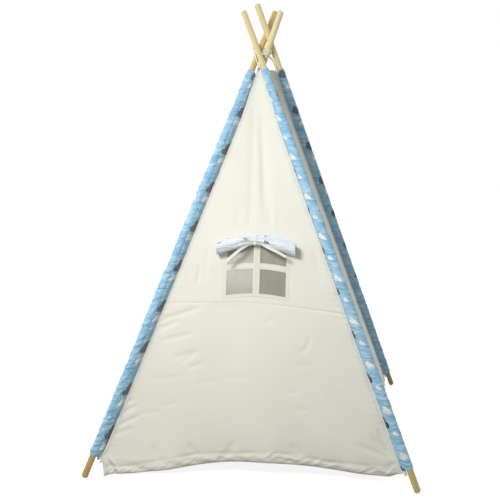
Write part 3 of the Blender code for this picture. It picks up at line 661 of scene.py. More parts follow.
# %% Walls
class Wall:
    """The cloth between two neighbouring corner seams, seen from outside: left seam to right seam."""

    STATION = 0.005
    RIPPLE, RIPPLE_REACH = 0.009, 0.11

    def __init__(self, left, right, ripples=0, phase=0.0, billow=0.020, free_corner=False):
        self.left, self.right, self.free_corner = left, right, free_corner
        self.ripples, self.phase, self.billow = ripples, phase, billow
        self.stations = [self.measured(i * self.STATION) for i in range(int(1.46 / self.STATION))]

    def seams(self, height):
        """The wall's two edges at a height, clear of what else is sewn there."""
        left, right = corner_seam(self.left, height), corner_seam(self.right, height)
        if self.free_corner and height < SEWN_END[self.left]:
            # Below the sleeve's end a free corner hangs straight down.
            left = corner_seam(self.left, SEWN_END[self.left])
            left.z = height
        run = plan(right - left)
        left = left + run * corner_clearance(run, self.left, height)
        right = right - run * corner_clearance(-run, self.right, height)
        return left, right

    def measured(self, height):
        """Left edge, right edge, normal and level outward direction at a height, worked out anew."""
        left, right = self.seams(height)
        above = self.seams(height + BASE_HALF / 10)[0]
        run = plan(right - left)
        return left, right, (right - left).cross(above - left).normalized(), Vector((run.y, -run.x, 0))

    def at(self, height):
        """The same four, from the kept stations."""
        place = min(max(height / self.STATION, 0), len(self.stations) - 1.001)
        low = int(place)
        pairs = zip(self.stations[low], self.stations[low + 1])
        return [one.lerp(other, place - low) for one, other in pairs]

    def sink(self, share, height):
        """How far slack cloth lies inside the straight line between its seams."""
        belly = self.billow * (1 - height / CROSSING_HEIGHT)
        wave = math.sin(math.tau * self.ripples * share + self.phase)
        ripple = self.RIPPLE * math.exp(-height / self.RIPPLE_REACH) * wave
        return 4 * share * (1 - share) * (belly + ripple)

    def point(self, share, height, lift=0):
        left, right, normal, outward = self.at(height)
        return left.lerp(right, share) - outward * self.sink(share, height) + normal * lift

    def width(self, height):
        left, right = self.at(height)[:2]
        return (right - left).length

    def share_at(self, x, height):
        """The share of the front wall's width at an x."""
        left, right = self.at(height)[:2]
        return (x - left.x) / (right.x - left.x)

    def point_at(self, x, height, lift=0):
        return self.point(self.share_at(x, height), height, lift)

    def lean(self, height):
        """Length up the cloth for each unit of height."""
        return 1 / math.sqrt(1 - self.at(height)[2].z ** 2)


# %% Four walls
FRONT = Wall("front_left", "front_right", 3, 0.6, free_corner=True)
RIGHT = Wall("front_right", "rear_right", 4, 2.2)
REAR = Wall("rear_right", "rear_left", 3, 4.0)
LEFT = Wall("rear_left", "front_left", billow=0)


def hem_height(heights, share):
    """A hem that hangs between its two corners and arches in the middle."""
    left, middle, right = heights
    return between(left, right, share) + (middle - (left + right) / 2) * math.sin(math.pi * share) ** 2


print("front wall is", round(FRONT.width(0.05), 3), "m wide at its foot")

# %% [markdown]
# ## Folds in the cloth
# Real canvas is never quite flat. The photograph shows three kinds of fold: long soft ones that run down from the top,
# short drag lines that pull in from the sleeves, and faint level marks from when the cover lay packed.
# A noise alone would put them anywhere. So each is a soft valley along a short line: two ends as x and height,
# a width, and how far its middle stands out. A wall's relief is the sum of its marks with a slow random swell.


# %% Fold marks
def valley(x, height, mark):
    """Depth share of one fold mark at a point: 1 in its middle line, 0 away from it."""
    x1, h1, x2, h2, width = mark[:5]
    run_x, run_h = x2 - x1, h2 - h1
    length = math.hypot(run_x, run_h)
    along = ((x - x1) * run_x + (height - h1) * run_h) / length / length
    if not -0.25 < along < 1.25:
        return 0
    off = ((x - x1) * run_h - (height - h1) * run_x) / length / width
    if abs(off) > 3:
        return 0
    return math.exp(-off * off) * eased((along + 0.25) / 0.5) * eased((1.25 - along) / 0.5)


# %% Marks of the front wall
FRONT_MARKS = [
    (-0.016, 1.344, 0.039, 0.841, 0.016, -0.0042), (-0.029, 1.298, -0.024, 0.874, 0.013, -0.0030),
    (0.002, 1.181, 0.023, 0.866, 0.010, -0.0022), (-0.075, 0.86, -0.064, 0.80, 0.008, -0.0014),
    (-0.032, 0.87, -0.027, 0.80, 0.006, -0.0014), (0.042, 0.875, 0.048, 0.80, 0.007, -0.0014),
    (0.076, 0.868, 0.081, 0.80, 0.006, -0.0012), (-0.177, 0.653, -0.165, 0.762, 0.009, -0.0024),
    (-0.246, 0.702, -0.232, 0.636, 0.008, -0.0018), (-0.206, 0.616, -0.199, 0.678, 0.007, -0.0020),
    (0.207, 0.726, 0.231, 0.628, 0.010, -0.0016), (-0.329, 0.494, -0.201, 0.535, 0.009, -0.0032),
    (-0.328, 0.466, -0.264, 0.494, 0.008, -0.0030), (-0.313, 0.430, -0.218, 0.452, 0.008, -0.0024),
    (-0.266, 0.375, -0.192, 0.393, 0.008, -0.0026), (-0.245, 0.359, -0.202, 0.387, 0.007, -0.0018),
    (-0.225, 0.340, -0.170, 0.358, 0.007, -0.0018), (-0.343, 0.302, -0.241, 0.313, 0.007, -0.0013),
    (-0.196, 0.291, -0.120, 0.301, 0.007, -0.0012), (-0.312, 0.217, -0.253, 0.230, 0.007, -0.0013),
    (-0.379, 0.192, -0.311, 0.199, 0.007, -0.0013), (-0.086, 0.310, -0.010, 0.317, 0.007, -0.0010),
    (0.125, 0.270, 0.158, 0.277, 0.007, -0.0012), (0.143, 0.221, 0.193, 0.219, 0.007, -0.0012),
    (0.155, 0.399, 0.193, 0.416, 0.007, -0.0014), (0.152, 0.356, 0.202, 0.364, 0.007, -0.0012),
    (0.043, 0.491, 0.067, 0.512, 0.007, -0.0013), (-0.175, 0.538, -0.166, 0.450, 0.006, -0.0008),
    (0.196, 0.451, 0.180, 0.411, 0.007, -0.0012), (-0.450, 0.221, -0.406, 0.236, 0.007, -0.0034),
    (-0.448, 0.193, -0.396, 0.216, 0.007, -0.0036), (-0.455, 0.154, -0.387, 0.184, 0.007, -0.0036),
    (-0.465, 0.127, -0.406, 0.146, 0.007, -0.0030), (0.406, 0.144, 0.482, 0.092, 0.010, -0.0036),
    (0.426, 0.167, 0.463, 0.117, 0.008, -0.0028), (0.365, 0.120, 0.446, 0.094, 0.010, -0.0030),
    (-0.060, 0.110, -0.075, 0.070, 0.010, -0.0030), (0.138, 0.110, 0.171, 0.080, 0.012, -0.0028),
    (-0.211, 0.100, -0.176, 0.070, 0.012, -0.0030), (-0.33, 0.095, -0.30, 0.045, 0.013, -0.0030),
    (-0.470, 0.060, -0.438, 0.012, 0.004, 0.0034), (-0.478, 0.046, -0.456, 0.008, 0.005, -0.0040),
    (-0.112, 0.062, -0.093, 0.088, 0.003, 0.0030), (0.052, 0.066, 0.075, 0.088, 0.004, 0.0034),
    (0.085, 0.078, 0.150, 0.066, 0.005, 0.0034), (0.215, 0.052, 0.245, 0.072, 0.005, 0.0030),
]
print("front wall carries", len(FRONT_MARKS), "fold marks")


# %% Strewn marks
def strewn_marks(seed, count, wall_half):
    """Marks for a wall that the photograph doesn't show: drag lines at its sides, level marks in its middle."""
    chance = random.Random(seed)
    marks = []
    for i in range(count):
        height = chance.uniform(0.12, 1.1)
        half = wall_half * (1 - height / 1.5)
        if i % 2:
            hand = chance.choice((-1, 1))
            x = hand * half * 0.97
            reach = chance.uniform(0.04, 0.11)
            marks.append((x, height, x - hand * reach, height + reach * chance.uniform(0.1, 0.5), 0.008, -0.0028))
        else:
            x = chance.uniform(-0.6, 0.6) * half
            end = x + chance.uniform(0.04, 0.10)
            marks.append((x, height, end, height + chance.uniform(-0.01, 0.01), 0.007, -0.0013))
    for x, lean in ((-0.02, 0.04), (0.03, -0.05)):
        marks.append((x, 1.32, x + lean, 0.85, 0.014, -0.0035))
    return marks


# %% [markdown]
# ## Relief
# The marks lie on a cloth that also swells slowly, ripples at its hem and puckers along its side seams.
# All of it dies out at the seams, so that neighbouring pieces still meet there.


# %% Relief of a wall
# All marks together are a little deeper than they were measured one by one.
MARK_DEPTH = 1.35


def swell(x, height, seed):
    """A slow random rise and fall, longer up the cloth than across it."""
    broad = noise.noise(Vector((x * 5.5, height * 2.2, seed)))
    fine = noise.noise(Vector((x * 17, height * 9, seed + 7.3)))
    return broad * 0.0042 + fine * 0.0010


def hem_ripple(x, rise, seed):
    """Ripples that die out above the hem; rise is the height above it."""
    wave = noise.noise(Vector((x * 13, seed, 0.4)))
    return wave * 0.007 * math.exp(-rise / 0.05)


def relief(x, height, side, rise, marks, seed):
    """How far the cloth stands out of its wall's plane, level at the side seams."""
    lift = swell(x, height, seed) + hem_ripple(x, rise, seed)
    lift += MARK_DEPTH * sum(mark[5] * valley(x, height, mark) for mark in marks)
    pucker = 0.0016 * math.sin(x * 40 + height * 330) * math.exp(-side / 0.016)
    return (lift + pucker) * eased(side / 0.022)


# %% [markdown]
# ## Front wall
# The front is two panels joined by a level seam below the window. The lower one is widest at its hem, which arches
# between the corners. Its left corner hangs free below the sleeve and is drawn in along the hem, and its right corner
# is pulled up. Each of these is one small function of the share of the width, from 0 at the left seam to 1.

# %% Front hem
FRONT_HEM = (0.0035, 0.0525, 0.030)
PANEL_SEAM = (0.5535, 0.5585, 0.532)
CORNER_PULL = 0.014
FLARE, FLARE_REACH = 0.038, 0.060
FREE_CORNER = 0.06  # The share of the width that is drawn in.


def front_hem(share):
    """The front hem, with its right corner pulled up towards the sleeve's end."""
    return hem_height(FRONT_HEM, share) + CORNER_PULL * eased((share - 0.945) / 0.055)


def flare(share, rise):
    """How far the slack cloth by the left corner stands out at the hem."""
    return FLARE * (1 - eased((share - FREE_CORNER) / 0.42)) * math.exp(-max(rise, 0) / FLARE_REACH)


def drawn_in(share, height):
    """How far the free left corner is drawn in along the hem. Under the sleeve's end it first bulges outwards."""
    inwards = 0.015 * eased((0.078 - height) / 0.075) - 0.010 * math.exp(-(((height - 0.062) / 0.013) ** 2))
    return inwards * (1 - eased(share / FREE_CORNER))


print("front hem's heights", [round(front_hem(share), 3) for share in (0, 0.25, 0.5, 0.75, 1)], "m")

# %% [markdown]
# ## The window's lines
# The opening is a square in the upper panel, but the pulled cloth arches its level lines a little and tilts them.
# The film, the bars and the curtain follow the same lines, so the arch is a function that all of them ask.
# The folds die out round the window, because its film keeps the cloth flat.

# %% Window lines
WINDOW_X, WINDOW_HALF = 0.0022, 0.1045
WINDOW_BOTTOM, WINDOW_TOP, WINDOW_ARCH = 0.588, 0.770, 0.009
WINDOW_TILT, WINDOW_REACH = 0.0015, 0.05
CALM_MIDDLE, CALM_WIDE, CALM_TALL = 0.6875, 0.150, 0.120


def window_arch(x):
    """How much lower the window's level lines lie beside its middle: the pulled cloth arches and tilts them."""
    reach = WINDOW_HALF + WINDOW_REACH
    off = min(max(x - WINDOW_X, -reach), reach) / WINDOW_HALF
    return WINDOW_ARCH * off * off + WINDOW_TILT * off


def window_calm(x, height):
    """0 on the window and where the curtain rests, rising to 1 on free cloth."""
    beside = (abs(x - WINDOW_X) - CALM_WIDE) / 0.05
    above = (abs(height - CALM_MIDDLE) - CALM_TALL) / 0.03
    return eased(max(beside, above))


print("window", round(WINDOW_HALF * 2, 3), "m wide and", round(WINDOW_TOP - WINDOW_BOTTOM, 3), "m high")

# %% [markdown]
# ## The front wall's own relief
# The hem is folded double and stitched, so it stands as a band that is slack in places, with a valley along its top.
# Above it the cloth hangs more upright than the poles lean, and the panels' seam draws a fine line across.

# %% Front relief
HEM_HANG, HEM_HANG_REACH = 0.019, 0.050
SEAM_LINE, SEAM_LINE_HALF = 0.0021, 0.0032


def hem_fold(x, rise, seed):
    """The doubled hem: a crooked valley where its fold ends, a slack band below it, and an edge that curls in."""
    line = HEM_DEPTH + 0.010 * noise.noise(Vector((x * 8, seed, 1.7)))
    uneven = 0.6 + 1.3 * noise.noise(Vector((x * 14, seed, 3.9)))
    lift = -0.0042 * uneven * math.exp(-(((rise - line) / 0.006) ** 2))
    slack = math.exp(-(((rise - 0.014) / 0.013) ** 2))
    lift += slack * (0.0018 + 0.0060 * noise.noise(Vector((x * 22 + rise * 40, seed, 6.1))))
    lift += slack * 0.0034 * noise.noise(Vector((x * 55 - rise * 90, seed, 8.8)))
    return lift - 0.0035 * math.exp(-rise / 0.0035)


def front_relief(x, height):
    """How far the front wall's cloth stands out of its plane."""
    share = min(max(FRONT.share_at(x, height), 0), 1)
    width = FRONT.width(height)
    rise = height - front_hem(share)
    side = min(share * width + (0.03 if rise < 0.05 and share < 0.5 else 0), (1 - share) * width)
    lift = relief(x, height, side, rise, FRONT_MARKS, 3.1)
    off = height - hem_height(PANEL_SEAM, share)
    near_side = eased(min(share, 1 - share) * width / 0.02)
    lift += near_side * hem_fold(x, rise, 2.2)
    lift -= HEM_HANG * math.exp(-rise / HEM_HANG_REACH) * near_side
    lift -= SEAM_LINE * math.exp(-((off / SEAM_LINE_HALF) ** 2)) * near_side
    lift += 0.0012 * math.exp(-abs(off) / 0.010) * noise.noise(Vector((x * 85, 2.2, 0))) * near_side
    return lift * window_calm(x, height)


# %% [markdown]
# ## Cutting and hanging the front panels
# A hole could be a Boolean, but that leaves ragged faces in thin cloth. The opening is cut as one cuts cloth:
# four straight cuts through the flat grid, and the faces between them are taken out before the panel is hung.


# %% Window opening
def cut_window(bm):
    """Four straight cuts, along the arched level lines, and the faces between them taken out."""
    for vert in bm.verts:
        vert.co.y += window_arch(vert.co.x)
    cuts = [((WINDOW_X + hand * WINDOW_HALF, 0, 0), (1, 0, 0)) for hand in (-1, 1)]
    cuts += [((0, height, 0), (0, 1, 0)) for height in (WINDOW_BOTTOM, WINDOW_TOP)]
    for place, facing in cuts:
        bmesh.ops.bisect_plane(bm, geom=[*bm.verts, *bm.edges, *bm.faces], plane_co=place, plane_no=facing)
    middles = {face: face.calc_center_median() for face in bm.faces}
    inside = [
        face for face, middle in middles.items()
        if abs(middle.x - WINDOW_X) < WINDOW_HALF and WINDOW_BOTTOM < middle.y < WINDOW_TOP
    ]
    bmesh.ops.delete(bm, geom=inside, context="FACES")
    for vert in bm.verts:
        vert.co.y -= window_arch(vert.co.x)


# %% Front panels
CLOTH_RISE = 1.07  # Length up the sloping cloth for each unit of height.


def front_sheet(name, low, high, across, up, crowd_up, window=False):
    """A panel of the front wall between two lines; low and high give a height for each share of its width."""
    bm = flat_grid(across, up, 0.55, crowd_up)
    for vert in bm.verts:
        share, rise = vert.co.xy
        height = between(low(share), high(share), rise)
        left, right = FRONT.at(height)[:2]
        vert.co = (between(left.x, right.x, share), height, 0)
    if window:
        cut_window(bm)
    bottom = low(0.5)

    def place(x, height):
        share = FRONT.share_at(x, height)
        left, right, _, outward = FRONT.at(height)
        moved = outward * flare(share, height - front_hem(share)) + plan(right - left) * drawn_in(share, height)
        return FRONT.point_at(x, height, front_relief(x, height)) + moved

    def to_edges(x, height):
        share = FRONT.share_at(x, height)
        side = min(share, 1 - share) * FRONT.width(height)
        from_low = (height - low(share)) * CLOTH_RISE
        level = height + window_arch(x) - (WINDOW_BOTTOM + WINDOW_TOP) / 2
        beyond = max(abs(x - WINDOW_X) - WINDOW_HALF, abs(level) - (WINDOW_TOP - WINDOW_BOTTOM) / 2)
        return side, 1 if window else from_low, beyond if window else 1

    hang(bm, lambda x, height: (x, (height - bottom) * CLOTH_RISE), place, to_edges)
    return sewn_piece(name, bm, CANVAS, CLOTH)


# %% Both panels
front_lower = front_sheet(
    "front_lower_canvas", front_hem, lambda share: hem_height(PANEL_SEAM, share) - FIT / 2, 230, 140, 0.6,
)
front_upper = front_sheet(
    "front_upper_canvas",
    lambda share: hem_height(PANEL_SEAM, share) + FIT / 2,
    lambda share: COVER_TOP - 0.011 * abs(2 * share - 1),
    150, 170, 0.45, window=True,
)
for made, node in ((front_lower, "front_wall_lower_panel"), (front_upper, "front_wall_upper_panel")):
    gathers_front(stands_for(made, node))
    print(made.name, len(made.data.polygons), "faces", round(cloth_area(made), 4), "m2")

# %% [markdown]
# ## Right and rear walls
# These are plain trapezoids of the same canvas, seen only as a strip and through the window in the photograph.
# A copy of the front wall would show the same folds twice. So they are hung the same way, but their fold marks
# are strewn by a random generator with a fixed seed, so that each run gives the same cloth.


# %% Plain walls
def plain_wall(name, wall, hem, top, grid, seed, marks):
    """A whole wall from its hem to its top; grid is how many faces it has across and up."""
    bm = flat_grid(*grid, 0.5, 0.4)

    def spread(share, rise):
        height = between(hem(share), top, rise)
        return (share - 0.5) * wall.width(height), height

    def place(share, rise):
        x, height = spread(share, rise)
        side = min(share, 1 - share) * wall.width(height)
        return wall.point(share, height, relief(x, height, side, height - hem(share), marks, seed))

    def to_edges(share, rise):
        height = spread(share, rise)[1]
        return min(share, 1 - share) * wall.width(height), (height - hem(share)) * CLOTH_RISE, 1

    def flat(share, rise):
        x, height = spread(share, rise)
        return x, height * CLOTH_RISE

    hang(bm, flat, place, to_edges)
    return sewn_piece(name, bm, CANVAS, CLOTH)


LOW_HEM = 0.034
plain = {}
for side, wall, first_hem, seeds, corner, other in (
    ("right", RIGHT, 0.045, (5.7, 21), "front_right", "rear_right"),
    ("rear", REAR, LOW_HEM, (9.2, 22), "rear_right", "rear_left"),
):
    hem_line = (first_hem, 0.080, LOW_HEM)
    plain[side] = plain_wall(
        f"{side}_canvas", wall, lambda share: hem_height(hem_line, share), COVER_TOP, (130, 130), seeds[0],
        strewn_marks(seeds[1], 34, 0.5),
    )
    stands_for(plain[side], f"{side}_wall")
    gathers(plain[side], f"{corner}_frame", corner, other)
    print(plain[side].name, len(plain[side].data.polygons), "faces", round(cloth_area(plain[side]), 4), "m2")

# %% [markdown]
# ## The door side
# The photograph doesn't show the left wall, so it is taken to be the way in, made as on many such teepees:
# a yoke at the top, a narrow fixed panel beside each pole, and two flaps that meet at a slit.
# Each flap folds out along its slanting line. A tape sewn beside each pole can tie the flap back.

# %% Door lines
DOOR_TOP, SLIT_LOW = 1.02, 0.045
DOOR_LENGTH, PANEL_WIDTH = 1.05, 0.10
PANEL_CLEAR, SLIT_CLEAR = 0.0002, 0.0015
SLIT_TOP = LEFT.point(0.5, DOOR_TOP)
SLIT_FOOT = LEFT.point(0.5, SLIT_LOW)
FOLD_FOOT = {"front": LEFT.point(0.93, LOW_HEM), "rear": LEFT.point(0.07, LOW_HEM)}
DOOR_RUN = plan(LEFT.at(DOOR_TOP)[1] - LEFT.at(DOOR_TOP)[0])
TOWARDS_POLE = {"front": DOOR_RUN, "rear": -DOOR_RUN}
DOOR_SIDES = {
    "front": ("front_left_frame", "front_left", "rear_left", "front_door_flap"),
    "rear": ("rear_left_frame", "rear_left", "front_left", "rear_door_flap"),
}


def panel_edges(side, height):
    """The fixed cloth's edges at a height: along the flap's fold line, and at the corner seam."""
    low = FOLD_FOOT[side]
    fold = low.lerp(SLIT_TOP, (height - low.z) / (SLIT_TOP.z - low.z))
    return fold + TOWARDS_POLE[side] * PANEL_CLEAR, LEFT.at(height)[1 if side == "front" else 0]


def gathers_door(made, side, body=None):
    """A piece of the door rides on the body of the pole on its own side, or on the given body."""
    frame_body, corner, other, _ = DOOR_SIDES[side]
    return gathers(made, body or frame_body, corner, other)


print("door", round(DOOR_TOP - SLIT_LOW, 3), "m high")

# %% [markdown]
# ## Yoke and fixed panels
# The yoke is a plain wall that starts above the door. A fixed panel lies between the corner seam and the flap's
# fold line, so it gets wider downwards. The rear one is turned over, so that its faces point outwards too.

# %% Yoke and panels
yoke = plain_wall("yoke_canvas", LEFT, lambda share: DOOR_TOP + FIT / 2, COVER_TOP, (60, 60), 12.4, [])
gathers_door(stands_for(yoke, "door_yoke"), "front")


def door_panel(side):
    """The fixed cloth between a pole and its flap."""
    bm = flat_grid(14, 110)

    def place(across, rise):
        height = between(LOW_HEM, DOOR_TOP - FIT / 2, rise)
        fold, seam = panel_edges(side, height)
        width = (seam - fold).length
        lift = swell(across, height, 15.0) * 0.6 * eased(min(across, 1 - across) * width / 0.015)
        return fold.lerp(seam, across) + LEFT.at(height)[2] * lift

    def to_edges(across, rise):
        fold, seam = panel_edges(side, between(LOW_HEM, DOOR_TOP, rise))
        return min(across, 1 - across) * (seam - fold).length, rise * DOOR_LENGTH, 1

    hang(bm, lambda across, rise: (across * PANEL_WIDTH, rise * DOOR_LENGTH), place, to_edges)
    if side == "rear":
        bmesh.ops.reverse_faces(bm, faces=bm.faces)
    made = sewn_piece(f"door_panel_{side}_canvas", bm, CANVAS, CLOTH)
    return gathers_door(stands_for(made, f"door_panel_{side}"), side)


door_panels = {side: door_panel(side) for side in DOOR_SIDES}

# %% [markdown]
# ## Flaps
# Each flap is half of the door, a triangle with its point at the top of the slit. It hangs from the fold line
# and the point, so the slack cloth falls into soft folds that get deeper downwards. A flat triangle would swing as
# well, but it would look like board. The flap rides on its own hinged body, so the joint turns it on the fold line.


# %% Flaps
FLAP_WIDTH, FLAP_SHARE = 0.45, 0.985


def door_flap(side):
    """Half of the door, gathered into soft folds below its point."""
    bm = flat_grid(60, 120)
    towards = TOWARDS_POLE[side]
    out = (FOLD_FOOT[side] - SLIT_FOOT).cross(SLIT_TOP - SLIT_FOOT).normalized()

    def place(across, rise):
        share = rise * FLAP_SHARE
        fold = FOLD_FOOT[side].lerp(SLIT_TOP, share) - towards * PANEL_CLEAR
        slit = SLIT_FOOT.lerp(SLIT_TOP, share) + towards * SLIT_CLEAR
        slack = 4 * across * (1 - across) * (1 - share)
        wave = 0.008 * slack * math.sin(math.tau * 1.5 * across + 0.7)
        soft = swell(across * 0.45, share, 18.0 + len(side)) * 0.8 * eased(across / 0.08) * (1 - share)
        return fold.lerp(slit, across) + out * (wave + soft)

    def to_edges(across, rise):
        width = FLAP_WIDTH * (1 - rise * FLAP_SHARE)
        return min(across, 1 - across) * width, rise * 0.96 * DOOR_LENGTH, 1

    def flat(across, rise):
        return (across - 0.5) * FLAP_WIDTH * (1 - rise), rise * DOOR_LENGTH

    hang(bm, flat, place, to_edges)
    if side == "front":
        bmesh.ops.reverse_faces(bm, faces=bm.faces)
    made = sewn_piece(f"door_flap_{side}_canvas", bm, CANVAS, CLOTH)
    return gathers_door(stands_for(made, f"door_flap_{side}"), side, DOOR_SIDES[side][3])


door_flaps = {side: door_flap(side) for side in DOOR_SIDES}
for made in (yoke, *door_panels.values(), *door_flaps.values()):
    print(made.name, len(made.data.polygons), "faces", round(cloth_area(made), 4), "m2")

# %% [markdown]
# ## Pole sleeves
# A sleeve is a strip of print folded round its pole and sewn into the corner seam. In section it is a tear drop:
# round the pole, then straight in to the seam. A tube with a displacement texture would show folds of one size
# all round. Here two noises, read on a small circle at each height, give short level folds that sag a little and
# close up round the pole. They only stand out from it, never into it.


# %% Sleeve section and folds
def teardrop(angle, radius, reach):
    """Radius at an angle from the seam: round the pole, then straight in to the seam."""
    turned = abs(math.remainder(angle, math.tau))
    tangent = math.acos(min(radius / reach, 1))
    return radius / math.cos(tangent - turned) if turned < tangent else radius


def crumple(angle, height, seed):
    """A share from 0 to 1 for short level folds that sag a little and run part of the way round the sleeve."""
    round_it = Vector((math.cos(angle), math.sin(angle), 0))
    sag = noise.noise(round_it * 0.5 + Vector((seed, 0, height * 6)))
    slow = noise.noise(round_it * 0.7 + Vector((0, 0, height * 9 + seed)))
    fold = 1 - abs(noise.noise(round_it * 0.38 + Vector((seed, 3, height * 40 + sag * 1.5)))) * 3.4
    fine = 1 - abs(noise.noise(round_it * 0.8 + Vector((seed, 9, height * 92 + sag * 3)))) * 3.0
    return max(0, fold) ** 1.3 * (0.75 + 0.6 * slow) + 0.34 * max(0, fine) ** 1.4


# %% [markdown]
# ## Sewing a sleeve
# The flat strip is wound once round its pole. The strip is longer than the walls that it is sewn to, so it crumples.
# Loose cloth also bellies out between pole and seam. Both ends are cut square to the pole,
# and the front sleeves have slipped down their poles a little.

# %% Sleeve values
SLEEVE_WIDTH, SLEEVE_LENGTH = 0.125, 1.49
SLEEVE_STEP = (SEAM_TAPER_START - SLEEVE_BOTTOM) / 11
SLEEVE_ENDS = {"front_left": 1.368, "front_right": 1.373, "rear_right": SLEEVE_TOP, "rear_left": SLEEVE_TOP}
SLEEVE_DEPTHS = {"front_left": 0.0030, "front_right": 0.0018, "rear_right": 0.0018, "rear_left": 0.0030}
# How far the print drifts sideways up each strip, which is cut a little off its straight thread.
SLEEVE_DRIFTS = {"front_left": 0.0, "front_right": 0.027, "rear_right": 0.040, "rear_left": 0.0}
print("sleeves' heights", {corner: round(end - SLEEVE_BOTTOM, 3) for corner, end in SLEEVE_ENDS.items()}, "m")


# %% Winding a sleeve
def sleeve(corner, seed, material, depth):
    """One sleeve; seed picks its folds and depth is how deep they are."""
    bm = flat_grid(48, 420)
    stations = {}
    for vert in bm.verts:
        rise = round(vert.co.y, 5)
        if rise not in stations:
            height = between(SLEEVE_BOTTOM, SLEEVE_ENDS[corner], rise)
            stations[rise] = (height, inward(corner, height), seam_reach(corner, height))

    def place(turn, rise):
        height, seam, reach = stations[round(rise, 5)]
        angle = math.remainder(math.tau * turn, math.tau)
        flank = math.acos(SLEEVE_RADIUS / reach)
        ends = eased(rise / 0.008) * eased((1 - rise) / 0.008)
        # The folds stand square to the cloth and die out at the sewn seam.
        belly = 0.0032 * math.sin(math.pi * min(abs(angle) / flank, 1)) ** 2
        push = (belly + depth * crumple(angle, height, seed)) * ends * eased(min(turn, 1 - turn) / 0.05)
        bearing = Matrix.Rotation(angle, 3, "Z") @ seam
        facing = Matrix.Rotation(math.copysign(max(abs(angle), flank), angle), 3, "Z") @ seam
        point = beside_pole(corner, height, bearing, teardrop(angle, SLEEVE_RADIUS, reach))
        point += beside_pole(corner, height, facing, push) - pole_at(corner, height)
        above, below = height - SLEEVE_BOTTOM, SLEEVE_ENDS[corner] - height
        square = max(0, 1 - above / SLEEVE_STEP, 1 - below / 0.06)
        return point.lerp(squared(corner, height, point), square)

    def to_edges(turn, rise):
        return min(turn, 1 - turn) * SLEEVE_WIDTH, min(rise, 1 - rise) * SLEEVE_LENGTH, 1

    def flat(turn, rise):
        return turn * SLEEVE_WIDTH + SLEEVE_DRIFTS[corner] * rise, rise * SLEEVE_LENGTH

    hang(bm, flat, place, to_edges)
    made = sewn_piece(f"{corner}_print_sleeve", bm, material, CLOTH, -1, closed=True)
    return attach(stands_for(made, f"{corner}_sleeve"), f"{corner}_frame")


# %% [markdown]
# ## Four strips of print
# Each strip has its clouds where the photograph shows pale and dark marks on it: an x across the strip, a y up
# one repeat, and a size, all in metres. The rear left strip is out of sight and gets places of its own.

# %% Sleeves
SLEEVE_PRINTS = {
    "front_left": printed(
        "print_front_left", [(0.118, 0.031, 0.0175), (0.043, 0.116, 0.017), (0.012, 0.09, 0.018)],
        [(0.1295, 0.076, 0.025)],
    ),
    "front_right": printed(
        "print_front_right", [(0.041, 0.043, 0.021), (0.044, 0.1205, 0.014), (0.112, 0.075, 0.016)],
        [(0.120, 0.146, 0.024)], (0.008, 0.010, 0.030),
    ),
    "rear_right": printed(
        "print_rear_right", [(0.067, 0.020, 0.017), (0.113, 0.060, 0.018), (0.102, 0.120, 0.015)],
        [(0.062, 0.076, 0.020)],
    ),
    "rear_left": printed(
        "print_rear_left", [(0.004, 0.021, 0.017), (0.070, 0.060, 0.018), (0.040, 0.130, 0.015)],
        [(0.061, 0.015, 0.021)],
    ),
}
sleeves = {}
for number, corner in enumerate(CORNERS):
    sleeves[corner] = sleeve(corner, 4.0 + 11 * number, SLEEVE_PRINTS[corner], SLEEVE_DEPTHS[corner])
    print(sleeves[corner].name, len(sleeves[corner].data.polygons), "faces")

# %% [markdown]
# ## Window film
# Clear vinyl behind the opening keeps rain out. It is slightly cloudy, and its olive grey is painted shade that stands
# for the dim inside seen through it. Real glass nodes would bend light that thin film doesn't bend, so a plain shader
# is made partly see-through by its alpha instead. A pale bloom of painted light lies on the left half, as in the
# photograph.

# %% Film finish
film_look, tree, shader = finish("window_vinyl", 0.16)
shader.inputs["Alpha"].default_value = 0.74
shader.inputs["Coat Weight"].default_value = 0.3
flat = wired(tree, "UVMap", uv_map="cloth")
haze = wired(tree, "TexNoise", flat, None, 12.0, 3.0, 0.55)
# Painted light: a pale bloom on the film's left half.
painted_bloom = wired(tree, "VectorMath", flat, (0.066, 0.088, 0), operation="DISTANCE", output=1)
painted_bloom = wired(tree, "MapRange", painted_bloom, 0.14, 0.03, 0.0, 1.0, interpolation_type="SMOOTHSTEP")
left_half = wired(tree, "MapRange", wired(tree, "SeparateXYZ", flat), 0.128, 0.108, 0.0, 1.0)
painted_bloom = sums(tree, "MULTIPLY", painted_bloom, left_half)
shade = sums(tree, "ADD", sums(tree, "MULTIPLY", painted_bloom, 0.75), sums(tree, "MULTIPLY", haze, 0.35))
# Painted shade: the olive grey stands for the dim inside behind the film, and the pale colour is the bloom's painted
# light.
plugged(
    tree, shader, tinted(tree, shade, (0.335, 0.325, 0.245), (0.68, 0.66, 0.60)),
    bumped(tree, wired(tree, "TexNoise", flat, None, 22.0, 2.0, 0.5), 0.004, 0.35),
)
print("film finish", film_look.name)


# %% Film
WINDOW_LAP, FILM, TAPE_THICK = 0.012, 0.0008, 0.001
LEFT_X, RIGHT_X = WINDOW_X - WINDOW_HALF, WINDOW_X + WINDOW_HALF


def front_patch(name, x_range, height_range, lift, thickness, material, grid):
    """A piece that follows the front wall and its arch, at a lift from the middle of the wall's cloth."""
    bm = flat_grid(*grid)
    width, tall = x_range[1] - x_range[0], (height_range[1] - height_range[0]) * CLOTH_RISE

    def place(share, rise):
        x, height = between(*x_range, share), between(*height_range, rise)
        return FRONT.point_at(x, height - window_arch(x), lift)

    def to_edges(share, rise):
        return min(share, 1 - share) * width, min(rise, 1 - rise) * tall, 1

    hang(bm, lambda share, rise: (share * width, rise * tall), place, to_edges)
    print(name, round(width, 3), "by", round(tall, 3), "m")
    return sewn_piece(name, bm, material, thickness)


